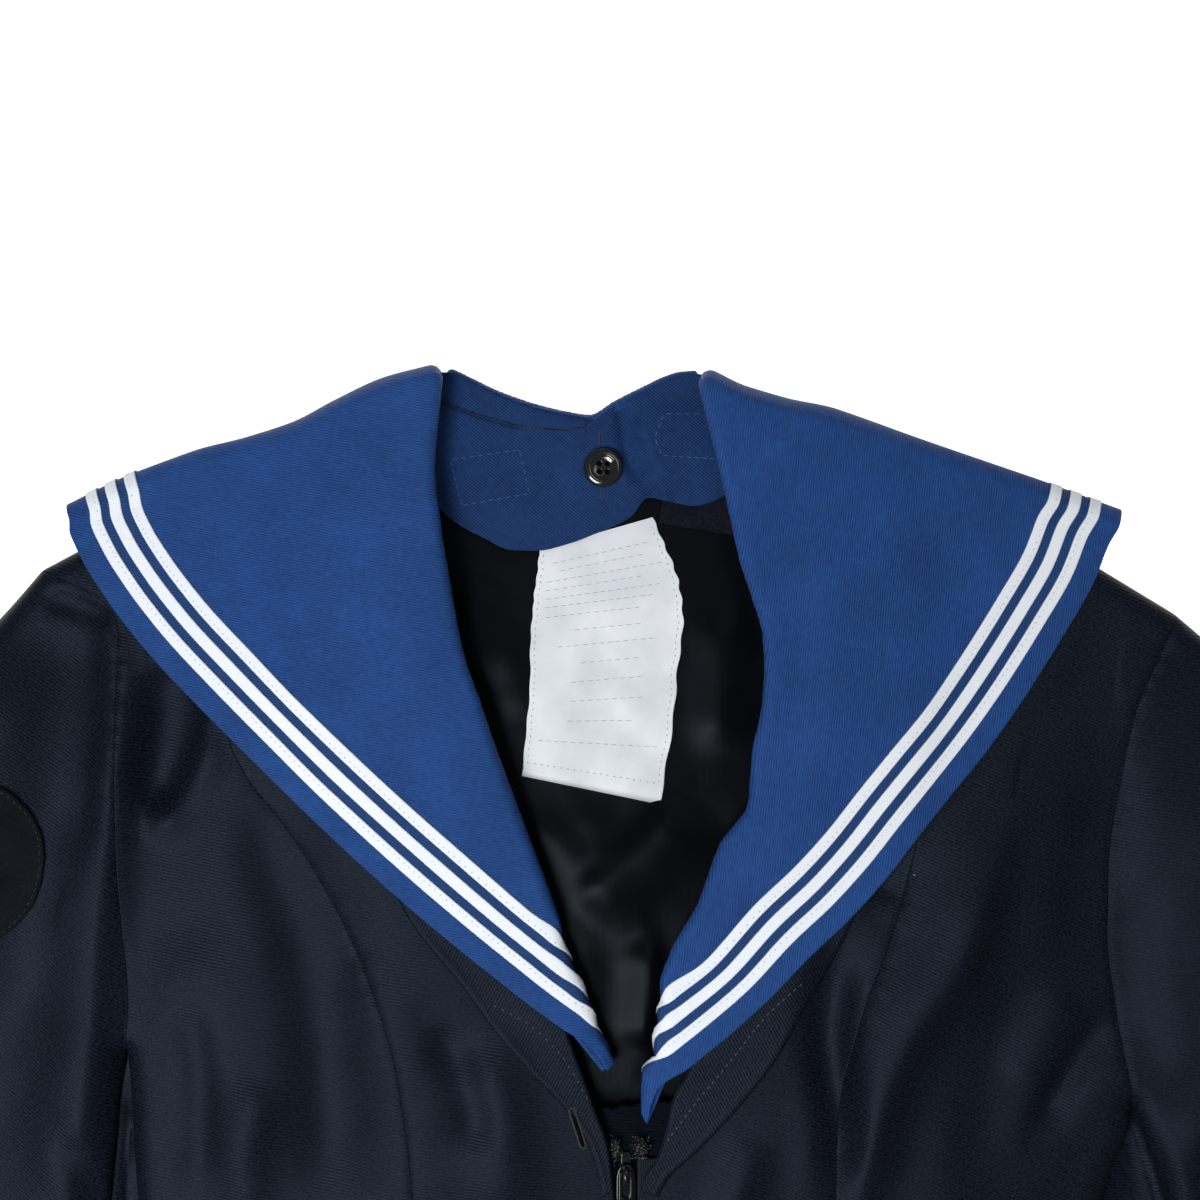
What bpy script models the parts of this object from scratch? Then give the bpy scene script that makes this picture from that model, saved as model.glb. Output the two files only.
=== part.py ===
"""Sailor jumper with a blue drill collar, laid flat on its back with the front up.

Frame: +X to the viewer's right, +Y towards the neck, +Z up, the surface it lies on at z = 0. Sides in the
names are the wearer's: the wearer's right is at -X. Sizes below are in millimetres.

The jumper is a wool tube flattened between two skins. Both skins come from one plan outline: its folded edges
(shoulders, sleeves, sides) round over from the upper skin to the lower one, and cuffs, hem and neck are open.
The collar is one strip of drill: a lapel, over the shoulder, round the square flap under the back, over the
other shoulder and down the other lapel. Its inner edge rolls over the neck edge of the jumper.
"""
import math

import bmesh
import bpy
import numpy as np

MM = 0.001
SHARP_ANGLE = math.radians(35)

# Cloth
WOOL = 1.6
DRILL = 1.4
TAPE = 1.0
SATIN = 1.0
FELT = 1.6
SEAM_GAP = 0.3
LAY_GAP = 0.3

# Jumper
HEM_Y = -530.0
MID_Z = 8.0  # height of the folded edges
EDGE_ROUND = 9.0  # plan width over which a folded edge rounds over
BODY_Z = 15.0  # top of the front, away from the neck
NECK_RISE = 9.0  # what the front rises towards the neck sides
NECK_RISE_X = 62.0
NECK_RISE_WIDTH = 60.0

# Collar: 406 mm wide, three 4.8 mm tapes 3.2 mm apart, 8.7 mm in from the edge
FLAP_RIGHT_X = -205.0
FLAP_LEFT_X = 200.0
FLAP_TOP_RIGHT_X = -196.0  # next to the shoulder the flap's edge runs in under the lapel's
FLAP_TOP_LEFT_X = 191.0
FLAP_BOTTOM_Y = -160.0
FLAP_MID_Z = TAPE + LAY_GAP + DRILL / 2
BACK_LIFT = FLAP_MID_Z + DRILL / 2 + 0.5  # underside of the back where it lies on the flap
LIFT_MARGIN = 28.0  # how far past the flap the back stays lifted
LIFT_RAMP = 20.0  # and the width over which it comes down to the floor
EDGE_MARGIN = 8.7
TAPE_WIDTH = 4.8
TAPE_SPACE = 3.2
LAPEL_GAP = 0.95  # least gap between lapel and front
COVER_MARGIN = 3.0  # how far past the revers' edge the lapel stays lifted over it
COVER_RAMP = 22.0
FRONT_ROLL = 3.4
BACK_ROLL = 3.5
SHOULDER_FOLD = 7.0

# Order of every shape below that follows one side of the jumper: from the shoulder down.
# Columns: y, x
NECK_EDGE = {
    "right": [(80.5, -66.5), (44, -67), (16, -63), (-15, -58.2), (-45.5, -48), (-76, -38), (-106, -28),
              (-121, -22.5), (-136, -19), (-150, -16.5), (-167, -12), (-182, -6.5), (-195, -1.9), (-209, 3),
              (-221, 4.6), (-229, 5.2), (-245, 6.8), (HEM_Y, 6.8)],
    "left": [(80.5, 45.5), (57, 49), (22, 56.5), (0, 64), (-20, 67.5), (-40, 67.5), (-76, 62), (-98, 49),
             (-121, 41), (-136, 40), (-150, 40), (-165, 39), (-180, 34), (-190, 28.3), (-205, 24.8),
             (-213.5, 22), (-220, 17.2), (-227, 15.3), (-245, 13), (HEM_Y, 13)],
}
REVERS_EDGE = {
    "right": [(80.5, -104), (0, -108), (-60, -96), (-119, -73.3), (-145, -53), (-161, -41.6), (-178, -27),
              (-195, -11.5), (-209, -3.5), (-224, 0), (-245, -6), (HEM_Y, -14)],
    "left": [(80.5, 90), (0, 108), (-60, 112), (-119, 97), (-145, 83.7), (-151, 79.5), (-174, 67.2),
             (-193, 52.3), (-209, 37), (-220, 25.6), (-232, 21), (-245, 26), (HEM_Y, 34)],
}
PRINCESS_SEAM = {
    "right": [(50, -142), (10, -145), (-20, -146), (-53, -141.7), (-68, -135), (-88, -120), (-107, -108),
              (-128, -96.6), (-152, -86.3), (-179, -78), (-229, -71.4), (-330, -66), (-430, -74), (HEM_Y, -82)],
    "left": [(44, 140), (20, 142), (-10, 140), (-50, 133), (-80, 124), (-101, 119), (-120, 114), (-138, 108),
             (-156, 100.8), (-201, 91.3), (-229, 90), (-330, 80), (-430, 88), (HEM_Y, 96)],
}
ARMHOLE = {
    "right": [(11.5, -214.8), (9.2, -209.4), (6.9, -203.3), (3, -195.3), (-1, -190), (-9.2, -184.6),
              (-15.3, -184), (-34, -184.6), (-95, -184), (-120, -182.6), (-154, -180.3), (-173, -181.9)],
    "left": [(-5.4, 221.3), (-18.4, 215.6), (-32.5, 209), (-43, 205), (-71, 199.5), (-105, 195.3),
             (-129, 195.3), (-159, 198.7), (-194, 204.5)],
}
SIDE_EDGE = {
    "right": [(-173, -181.9), (-190, -180.5), (-210, -179.5), (-230, -178), (-300, -171), (-380, -177),
              (-460, -191), (HEM_Y, -203)],
    "left": [(-194, 204.5), (-205, 203), (-214, 199), (-228, 194), (-300, 184), (-380, 190), (-460, 204),
             (HEM_Y, 216)],
}
# Columns: share of the sleeve's length, outer x, outer y, inner x, inner y
SLEEVE = {
    "right": [(0.00, -214.8, 11.5, -181.9, -173), (0.04, -230, -6, -184.5, -188), (0.10, -262, -36, -187, -212),
              (0.18, -299, -84, -190, -242), (0.28, -327, -146, -197, -283), (0.40, -345, -218, -209, -335),
              (0.55, -361, -308, -230, -402), (0.70, -375, -397, -253, -468), (0.85, -387, -481, -275, -531),
              (1.00, -397, -560, -291, -585)],
    "left": [(0.00, 221.3, -5.4, 204.5, -194), (0.04, 238, -20, 209.5, -206), (0.10, 267, -52, 216.5, -226),
             (0.18, 300, -99, 224, -253), (0.28, 330, -162, 234, -294), (0.40, 349, -234, 246, -345),
             (0.55, 366, -324, 261, -413), (0.70, 382, -413, 275, -479), (0.85, 396, -497, 289, -542),
             (1.00, 408, -577, 302, -602)],
}
SLEEVE_ROWS = (0, 0.02, 0.05, 0.09, 0.14, 0.2, 0.28, 0.37, 0.46, 0.56, 0.67, 0.78, 0.89, 1)
UNDER_SLEEVE_ROWS = (0, 0.04, 0.1, 0.18, 0.28, 0.4, 0.55, 0.76, 1)
SLEEVE_CAP_FADE = 0.08

# Back neck edge, from the wearer's right to left. Columns: x, y
BACK_NECK = [(-66.5, 80.5), (-55, 78), (-45, 75), (-25, 68.5), (-5, 65), (5, 69), (18, 75), (27, 77.5),
             (37, 79), (45.5, 80.5)]

# Largest folds of the front and sleeves. Columns: height, half width, then x, y of each point along it
FOLDS = [
    (4.0, 15.0, [(-202, -22), (-204.5, -78), (-208, -146), (-214, -213)]),
    (-5.0, 20.0, [(-164, -30), (-166, -66)]),
    (-2.0, 22.0, [(-148, -80), (-124, -128), (-114, -192)]),
    (-5.5, 10.0, [(92.5, -132), (89, -148), (88, -165), (90, -183), (92, -203)]),
    (4.0, 18.0, [(156, -92), (149, -117), (139, -139), (124, -171), (104, -216)]),
    (2.5, 16.0, [(-60, -250), (-85, -330), (-70, -420)]),
    (-2.5, 20.0, [(120, -270), (105, -350), (128, -440)]),
    (3.0, 20.0, [(-290, -230), (-305, -330), (-330, -440)]),
    (3.0, 20.0, [(300, -240), (318, -340), (340, -450)]),
]

# Lapels, from tip to shoulder. Columns: edge x, edge y, roll x, roll y, height over the front, roll radius,
# width of the strip turned in
LAPEL = {
    "right": [(2.6, -180, 6.0, -177.3, -5.5, 1.5, 5), (-3.8, -170, 2.3, -169.8, -2.5, 2.2, 8),
              (-13.3, -164, -2.7, -158.2, 0.0, FRONT_ROLL, 8), (-21.6, -158, -6.8, -148.5, 0, FRONT_ROLL, 9),
              (-30.3, -151.6, -11.4, -138.3, 0, FRONT_ROLL, 10), (-39.8, -144, -15.2, -126.2, 0, FRONT_ROLL, 11),
              (-49.3, -136.4, -19, -113.7, 0, FRONT_ROLL, 12), (-70.1, -119, -26.5, -93.2, 0, FRONT_ROLL, 12),
              (-91, -100.4, -33.4, -74.7, 0, FRONT_ROLL, 12), (-111.8, -81.1, -40.2, -56.1, 0, FRONT_ROLL, 12),
              (-133, -60.6, -46.2, -37.9, 0, FRONT_ROLL, 12), (-153.5, -40.2, -51.9, -21.2, 0, FRONT_ROLL, 12),
              (-172.8, -19.7, -55.3, -4.5, 0, FRONT_ROLL, 12), (-188, 0, -58, 11.4, 0, FRONT_ROLL, 12),
              (-197, 14.4, -61, 30.3, 0, FRONT_ROLL, 12), (-202.4, 26.5, -62.9, 49.3, 0, FRONT_ROLL, 12)],
    "left": [(16.3, -195.6, 14.8, -191.8, -3.5, 1.2, 5), (22, -186.8, 16.6, -181.2, -2.5, 2.0, 8),
             (34.1, -178.1, 21.2, -166.8, 0.0, FRONT_ROLL, 8), (41, -172.5, 22.4, -158, 0, FRONT_ROLL, 9),
             (48.1, -166.8, 23.5, -147.8, 0, FRONT_ROLL, 10),
             (64.8, -151.6, 28.4, -132.7, 0, FRONT_ROLL, 12), (79.2, -136.4, 37.9, -116, 0, FRONT_ROLL, 12),
             (95.1, -121.3, 46.2, -93.2, 0, FRONT_ROLL, 12), (108.8, -106, 57, -77, 0, FRONT_ROLL, 12),
             (120.5, -91, 58.4, -58, 0, FRONT_ROLL, 12), (132.7, -75.8, 61.8, -41.7, 0, FRONT_ROLL, 12),
             (145.2, -60.6, 62.9, -26.5, 0, FRONT_ROLL, 12), (159.2, -41.3, 62.2, -13.6, 0, FRONT_ROLL, 12),
             (175.9, -15.2, 57.6, 2.3, 0, FRONT_ROLL, 12), (188, 5.7, 53.4, 15.2, 0, FRONT_ROLL, 12),
             (194, 20.8, 48.1, 39, 0, FRONT_ROLL, 12)],
}
# Fold over the shoulder: outer corner, then the neck end
SHOULDER_LINE = {"right": ((-204.7, 36.4), (-61.4, 86.8)), "left": ((200, 33.8), (39.8, 86.8))}
FOLD_ANGLES = (90, 55, 20, -20, -55, -90)
# Flap under the back. Columns: edge x, edge y, neck fold x, neck fold y
FLAP = [(FLAP_TOP_RIGHT_X, 5, -57, 89.3), (FLAP_RIGHT_X, -75, -49, 84.8),
        (FLAP_RIGHT_X, FLAP_BOTTOM_Y, -40, 80.5), (-120, FLAP_BOTTOM_Y, -25, 75.2),
        (-60, FLAP_BOTTOM_Y, -14, 72.5), (-2, FLAP_BOTTOM_Y, -4, 71), (60, FLAP_BOTTOM_Y, 6, 76.5),
        (120, FLAP_BOTTOM_Y, 17, 82), (FLAP_LEFT_X, FLAP_BOTTOM_Y, 25, 85.8), (FLAP_LEFT_X, -75, 31, 87.6),
        (FLAP_TOP_LEFT_X, 5, 36, 89)]
FLAP_TURN_IN = 0.8
SHOULDER_TURN_IN = 1.2
# Lapel station at which each tape runs over the roll and ends
TAPE_END = {"right": {"outer": 1, "middle": 3, "inner": 5}, "left": {"outer": 1, "middle": 3, "inner": 4}}

# Inner yoke of the collar. Columns: x, upper y, lower y
YOKE = [(-76, 68, 46), (-64, 73.5, 36.6), (-56.6, 76, 30.4), (-45.4, 74.5, 24.2), (-34.2, 71.5, 19.2),
        (-25, 69.5, 18.9), (-10, 65.8, 22.3), (-3, 65.8, 25), (3.8, 69.5, 27.7), (12.3, 74, 32.3), (18.1, 76.5, 39.4),
        (27.3, 77.5, 37.7), (38.5, 75.5, 36.2), (47.7, 73, 41.2), (58, 68, 48)]
YOKE_Z = 8.3

# Label and hook tape on the lining. Columns: x, y of the right edge, then x, y of the left one
LABEL = [(-23.2, 19.5, 20, 32), (-25, 5, 28, 14), (-26.5, -10, 32, -4), (-27.4, -38, 29.5, -34),
         (-30.3, -68, 23.5, -79)]
HOOK_CENTRE = (45, 37)
HOOK_SIZE = (42, 22)
HOOK_TURN = -9.0

BUTTON_CENTRE = (1.2, 50.9)
BUTTON_DIAMETER = 15.0
BUTTON_HEIGHT = 3.2

BADGE_CENTRE = (-245, -99)
BADGE_RADIUS = 34.0

# Zip: all of it lies under the front edges, on the wool guard
ZIP_X = 9.9
ZIP_TAPE_WIDTH = 13.0
CHAIN_WIDTH = 7.4
CHAIN_Z = (10.9, 13.0)
ZIP_TAPE_Z = (12.1, 13.1)
ZIP_TOP_Y = -207.0
SLIDER_SIZE = (7.6, 14.0, 4.1)
SLIDER_TOP_Y = -216.0
GUARD_Z = (9.0, 10.6)
GUARD_WIDTH = 40.0
PULL_WIDTH = 5.4
PULL_LENGTH = 32.0
PULL_THICK = 1.3
PULL_BAR = 1.2  # width of the pull round its slot
PULL_SLOT = 10.5  # far end of the slot, from the pull's top

# The frame's origin is the middle of the bounding box, on the floor
ROW_ORIGIN = (5.5, -256.15)


def column(table, y):
    """x of a (y, x) table at the heights y."""
    ys = np.array([row[0] for row in table], float)
    xs = np.array([row[1] for row in table], float)
    return np.interp(-np.asarray(y, float), -ys, xs)


def smooth(t):
    t = np.clip(t, 0, 1)
    return t * t * (3 - 2 * t)


def unit(v):
    v = np.asarray(v, float)
    return v / np.maximum(np.linalg.norm(v, axis=-1, keepdims=True), 1e-9)


def line_distance(points, line):
    """Distance in plan to a polyline, the nearest point on it, and the left-hand normal of the segment there."""
    best = np.full(len(points), 1e9)
    near = np.zeros_like(points)
    normal = np.zeros_like(points)
    for start, end in zip(line[:-1], line[1:]):
        start, along = np.array(start, float), np.subtract(end, start).astype(float)
        share = np.clip((points - start) @ along / (along @ along), 0, 1)
        foot = start + share[:, None] * along
        gap = np.linalg.norm(points - foot, axis=1)
        closer = gap < best - 1e-9
        best = np.where(closer, gap, best)
        near[closer] = foot[closer]
        normal[closer] = unit((-along[1], along[0]))
    return best, near, normal


def folded_edges(side):
    """The folded edges of one side in plan, each a polyline with the cloth on its left."""
    shoulder = [(column(NECK_EDGE[side], NECK_EDGE[side][0][0]).item(), NECK_EDGE[side][0][0]),
                (PRINCESS_SEAM[side][0][1], PRINCESS_SEAM[side][0][0]),
                (ARMHOLE[side][0][1], ARMHOLE[side][0][0])]
    outer = [(row[1], row[2]) for row in SLEEVE[side]]
    inner = [(row[3], row[4]) for row in SLEEVE[side]]
    flank = [(x, y) for y, x in SIDE_EDGE[side]]
    lines = {"shoulder": shoulder, "outer": outer, "inner": inner[::-1], "flank": flank}
    if side == "left":
        lines = {name: line[::-1] for name, line in lines.items()}
    return lines


EDGES = {side: folded_edges(side) for side in ("right", "left")}


def edge_field(points, side_of, own=None):
    """Distance to the nearest folded edge, and the plan direction that leads from it into the cloth."""
    distance = np.full(len(points), 1e9)
    inward = np.zeros_like(points)
    for side in ("right", "left"):
        if side_of not in (side, "both"):
            continue
        for name, line in EDGES[side].items():
            if own and name not in own:
                continue
            gap, near, normal = line_distance(points, line)
            away = np.where(gap[:, None] > 0.5, unit(points - near), normal)
            closer = gap < distance
            distance = np.where(closer, gap, distance)
            inward[closer] = away[closer]
    return distance, inward


def crown(points, folds=True):
    """Height of the upper skin away from its folded edges."""
    x, y = points[:, 0], points[:, 1]
    rise = np.exp(-(((np.abs(x + 4) - NECK_RISE_X) / NECK_RISE_WIDTH) ** 2)) * smooth((y + 170) / 190)
    height = BODY_Z + NECK_RISE * rise
    if folds:
        for tall, half_width, line in FOLDS:
            gap, _, _ = line_distance(points, line)
            height = height + tall * np.exp(-((gap / half_width) ** 2))
    return height


def sole(points):
    """Height of the lower skin: on the floor, and lifted where the collar's flap lies under it."""
    x, y = points[:, 0], points[:, 1]
    beyond_x = np.maximum(np.maximum(FLAP_RIGHT_X - x, x - FLAP_LEFT_X), 0)
    beyond_y = np.maximum(FLAP_BOTTOM_Y - y, 0)
    beyond = np.hypot(beyond_x, beyond_y)
    return BACK_LIFT * (1 - smooth((beyond - LIFT_MARGIN) / LIFT_RAMP))


def gradient(function, points):
    step = 0.5
    dx, dy = np.array([step, 0]), np.array([0, step])
    return np.stack([(function(points + dx) - function(points - dx)) / (2 * step),
                     (function(points + dy) - function(points - dy)) / (2 * step)], 1)


def skin(plan, upper, side_of, on_edge, own):
    """Outer points and outward normals of a piece of skin over a plan grid.

    on_edge marks grid points that lie on a folded edge, and own names that piece's folded edges.
    """
    shape = plan.shape[:2]
    points = plan.reshape(-1, 2)
    marked = on_edge.reshape(-1)
    distance, inward = edge_field(points, side_of)
    _, own_inward = edge_field(points, side_of, own)
    distance = np.where(marked, 0, distance)
    inward = np.where(marked[:, None], own_inward, inward)
    level = crown if upper else sole
    base = MID_Z + (SEAM_GAP / 2 if upper else -SEAM_GAP / 2)
    share = np.minimum(distance / EDGE_ROUND, 1)
    lift = np.sqrt(1 - (1 - share) ** 2)
    steep = np.where(share < 1, (1 - share) / (EDGE_ROUND * np.maximum(lift, 1e-4)), 0)
    target = level(points)
    z = base + (target - base) * lift
    slope = gradient(level, points) * lift[:, None] + ((target - base) * steep)[:, None] * inward
    up = np.ones((len(points), 1))
    normal = unit(np.hstack([-slope, up])) if upper else unit(np.hstack([slope, -up]))
    outer = np.hstack([points, z[:, None]])
    return outer.reshape(*shape, 3), normal.reshape(*shape, 3)


def across(line):
    """Left-hand plan normals at the points of a polyline."""
    tangent = np.gradient(np.asarray(line, float), axis=0)
    return unit(np.stack([-tangent[:, 1], tangent[:, 0]], 1))


def shifted(line, distance):
    """A polyline moved sideways, to its left for a positive distance."""
    line = np.asarray(line, float)
    step = unit(np.diff(line, axis=0))
    normal = np.stack([-step[:, 1], step[:, 0]], 1)
    before, after = np.vstack([normal[:1], normal]), np.vstack([normal, normal[-1:]])
    middle = unit(before + after)
    return line + distance * middle / np.maximum((middle * after).sum(1), 0.5)[:, None]


def inner_side(outer, normal, thickness, seams):
    """Inner points of a wall. At each seam the wall's end stands upright over the seam line."""
    offset = -thickness * normal
    for index, line in seams:
        seam = np.hstack([across(line), np.zeros((len(line), 1))])
        away = (normal[index] * seam).sum(1)[:, None]
        flat = offset[index] + thickness * away * seam
        offset[index] = flat / np.maximum(1 - away**2, 0.4)
    return outer + offset


def to_frame(points):
    """Millimetres in the drawing to metres in the frame."""
    points = np.asarray(points, float).reshape(-1, 3)
    return (points - np.array([ROW_ORIGIN[0], ROW_ORIGIN[1], 0])) * MM


def solid(name, shape, material_used, origin=(0, 0, 0)):
    """An object from a bmesh whose vertices are in metres of the frame; origin becomes its own zero."""
    bmesh.ops.recalc_face_normals(shape, faces=shape.faces)
    bmesh.ops.translate(shape, verts=shape.verts, vec=[-value for value in origin])
    mesh = bpy.data.meshes.new(name)
    shape.to_mesh(mesh)
    shape.free()
    mesh.shade_smooth()
    mesh.set_sharp_from_angle(angle=SHARP_ANGLE)
    mesh.materials.append(material_used)
    node = bpy.data.objects.new(name, mesh)
    node.location = origin
    bpy.context.scene.collection.objects.link(node)
    return node


def solid_in_drawing(name, shape, material_used, pivot=None):
    """An object from a bmesh in millimetres of the drawing, with its origin at the pivot where one is given."""
    for vertex in shape.verts:
        vertex.co = to_frame(vertex.co)[0]
    origin = (0, 0, 0) if pivot is None else tuple(to_frame(pivot)[0])
    return solid(name, shape, material_used, origin)


def slab(name, outer, inner, material_used):
    """A closed wall between two grids of points."""
    rows, columns = outer.shape[:2]
    count = rows * columns
    index = np.arange(count).reshape(rows, columns)
    a, b, c, d = index[:-1, :-1], index[1:, :-1], index[1:, 1:], index[:-1, 1:]
    upper = np.concatenate([np.stack([a, b, c], -1).reshape(-1, 3), np.stack([a, c, d], -1).reshape(-1, 3)])
    lower = upper[:, ::-1] + count
    loop = np.concatenate([index[0, :], index[1:, -1], index[-1, -2::-1], index[-2:0:-1, 0]])
    after = np.roll(loop, -1)
    rim = np.concatenate([np.stack([loop, after, after + count], -1),
                          np.stack([loop, after + count, loop + count], -1)])
    faces = np.concatenate([upper, lower, rim])

    shape = bmesh.new()
    points = [shape.verts.new(p) for p in to_frame(np.concatenate([outer.reshape(-1, 3), inner.reshape(-1, 3)]))]
    for face in faces:
        shape.faces.new([points[k] for k in face])
    return solid(name, shape, material_used)


def material(name, colour, roughness, metallic=0.0):
    made = bpy.data.materials.new(name)
    made.use_nodes = True
    shader = made.node_tree.nodes["Principled BSDF"]
    shader.inputs["Base Color"].default_value = (*colour, 1)
    shader.inputs["Roughness"].default_value = roughness
    shader.inputs["Metallic"].default_value = metallic
    made.diffuse_color = (*colour, 1)
    return made


def panel_rows(side):
    """y of each row at the armhole end and at the neck end, from the shoulder to the hem."""
    top, pit = ARMHOLE[side][0][0], ARMHOLE[side][-1][0]
    outer = [top, top - 1.4, top - 5, top - 10.5, top - 19, top - 34]
    outer += list(np.linspace(top - 62, pit + 24, 4)) + [pit + 12, pit + 4, pit, pit - 10, pit - 28]
    outer += [-260, -305, -350, -400, -450, -492, HEM_Y]
    return np.array(outer)


def row_points(table, rows):
    """Points of a side curve at the rows, spread between its own top and the hem."""
    share = (rows[0] - rows) / (rows[0] - HEM_Y)
    y = table[0][0] + share * (HEM_Y - table[0][0])
    return np.stack([column(table, y), y], 1)


def outer_points(side, rows):
    """Points of the armhole and the side edge at the rows."""
    pit = ARMHOLE[side][-1][0]
    x = np.where(rows >= pit, column(ARMHOLE[side], rows), column(SIDE_EDGE[side], rows))
    return np.stack([x, rows], 1)


def ruled(first, last, shares):
    shares = np.asarray(shares, float)[None, :, None]
    return first[:, None, :] * (1 - shares) + last[:, None, :] * shares


def front_centre(side, wool):
    """The front between neck edge and princess seam, and the revers that lies on it along the neck edge."""
    away = 1 if side == "left" else -1
    rows = panel_rows(side)
    neck = row_points(NECK_EDGE[side], rows)
    seam = shifted(row_points(PRINCESS_SEAM[side], rows), -away * SEAM_GAP / 2)
    fold_x = column(REVERS_EDGE[side], neck[:, 1])
    share = (fold_x - neck[:, 0]) / (seam[:, 0] - neck[:, 0])
    fold = neck + share[:, None] * (seam - neck)
    plan = np.concatenate([ruled(neck, fold, (0, 0.35, 0.7, 1)), ruled(fold, seam, (0.3, 0.58, 0.82, 1))], 1)
    on_edge = np.zeros(plan.shape[:2], bool)
    on_edge[0] = True
    outer, normal = skin(plan, True, side, on_edge, ("shoulder",))
    inner = inner_side(outer, normal, WOOL, [((slice(None), -1), seam)])
    slab(f"front_centre_{side}", outer, inner, wool)

    first, last = 3, int(np.searchsorted(-neck[:, 1], 226))
    strip = slice(first, last + 1), slice(0, 4)
    low = outer[strip] + LAY_GAP * normal[strip]
    high = outer[strip] + (LAY_GAP + WOOL) * normal[strip]
    slab(f"revers_{side}", high, low, wool)


def front_side(side, wool):
    """The front between princess seam and armhole."""
    away = 1 if side == "left" else -1
    rows = panel_rows(side)
    seam = shifted(row_points(PRINCESS_SEAM[side], rows), away * SEAM_GAP / 2)
    edge = outer_points(side, rows)
    pit_row = int(np.argmin(np.abs(rows - ARMHOLE[side][-1][0])))
    armhole = shifted(edge[: pit_row + 1], -away * SEAM_GAP / 2)
    edge[: pit_row + 1] = armhole
    width = np.linalg.norm(edge - seam, axis=1)
    near_edge = np.array([EDGE_ROUND, 4.5, 1.2, 0])
    shares = 1 - near_edge[None, :] / width[:, None]
    spread = shares[:, :1] * np.array([0, 0.22, 0.45, 0.68, 0.86])[None, :]
    shares = np.concatenate([spread, shares], 1)[:, :, None]
    plan = seam[:, None, :] * (1 - shares) + edge[:, None, :] * shares
    on_edge = np.zeros(plan.shape[:2], bool)
    on_edge[0] = True
    on_edge[pit_row:, -1] = True
    outer, normal = skin(plan, True, side, on_edge, ("shoulder", "flank"))
    inner = inner_side(outer, normal, WOOL, [((slice(None), 0), seam), ((slice(0, pit_row + 1), -1), armhole)])
    slab(f"front_side_{side}", outer, inner, wool)


def sleeve_plan(side, rows):
    """Plan grid of a sleeve: its first ring is the armhole, its last one the cuff."""
    levels = panel_rows(side)
    pit = ARMHOLE[side][-1][0]
    hole = outer_points(side, levels[levels >= pit])
    away = 1 if side == "left" else -1
    hole = shifted(hole, away * SEAM_GAP / 2)
    run = np.concatenate([[0], np.cumsum(np.linalg.norm(np.diff(hole, axis=0), axis=1))])
    share = (run / run[-1])[None, :, None]
    table = np.array(SLEEVE[side], float)
    table[0, 1:3], table[0, 3:5] = hole[0], hole[-1]
    rows = np.asarray(rows, float)
    outer = np.stack([np.interp(rows, table[:, 0], table[:, 1]), np.interp(rows, table[:, 0], table[:, 2])], 1)
    inner = np.stack([np.interp(rows, table[:, 0], table[:, 3]), np.interp(rows, table[:, 0], table[:, 4])], 1)
    chord = hole[0] * (1 - share[0]) + hole[-1] * share[0]
    cap = (hole - chord)[None] * np.exp(-rows / SLEEVE_CAP_FADE)[:, None, None]
    return outer[:, None, :] * (1 - share) + inner[:, None, :] * share + cap, hole


def sleeve(side, upper, wool):
    plan, hole = sleeve_plan(side, SLEEVE_ROWS if upper else UNDER_SLEEVE_ROWS)
    on_edge = np.zeros(plan.shape[:2], bool)
    on_edge[:, 0] = True
    on_edge[:, -1] = True
    outer, normal = skin(plan, upper, side, on_edge, ("outer", "inner"))
    inner = inner_side(outer, normal, WOOL, [((0, slice(None)), hole)])
    slab(f"{'upper' if upper else 'under'}_sleeve_{side}", outer, inner, wool)


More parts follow.
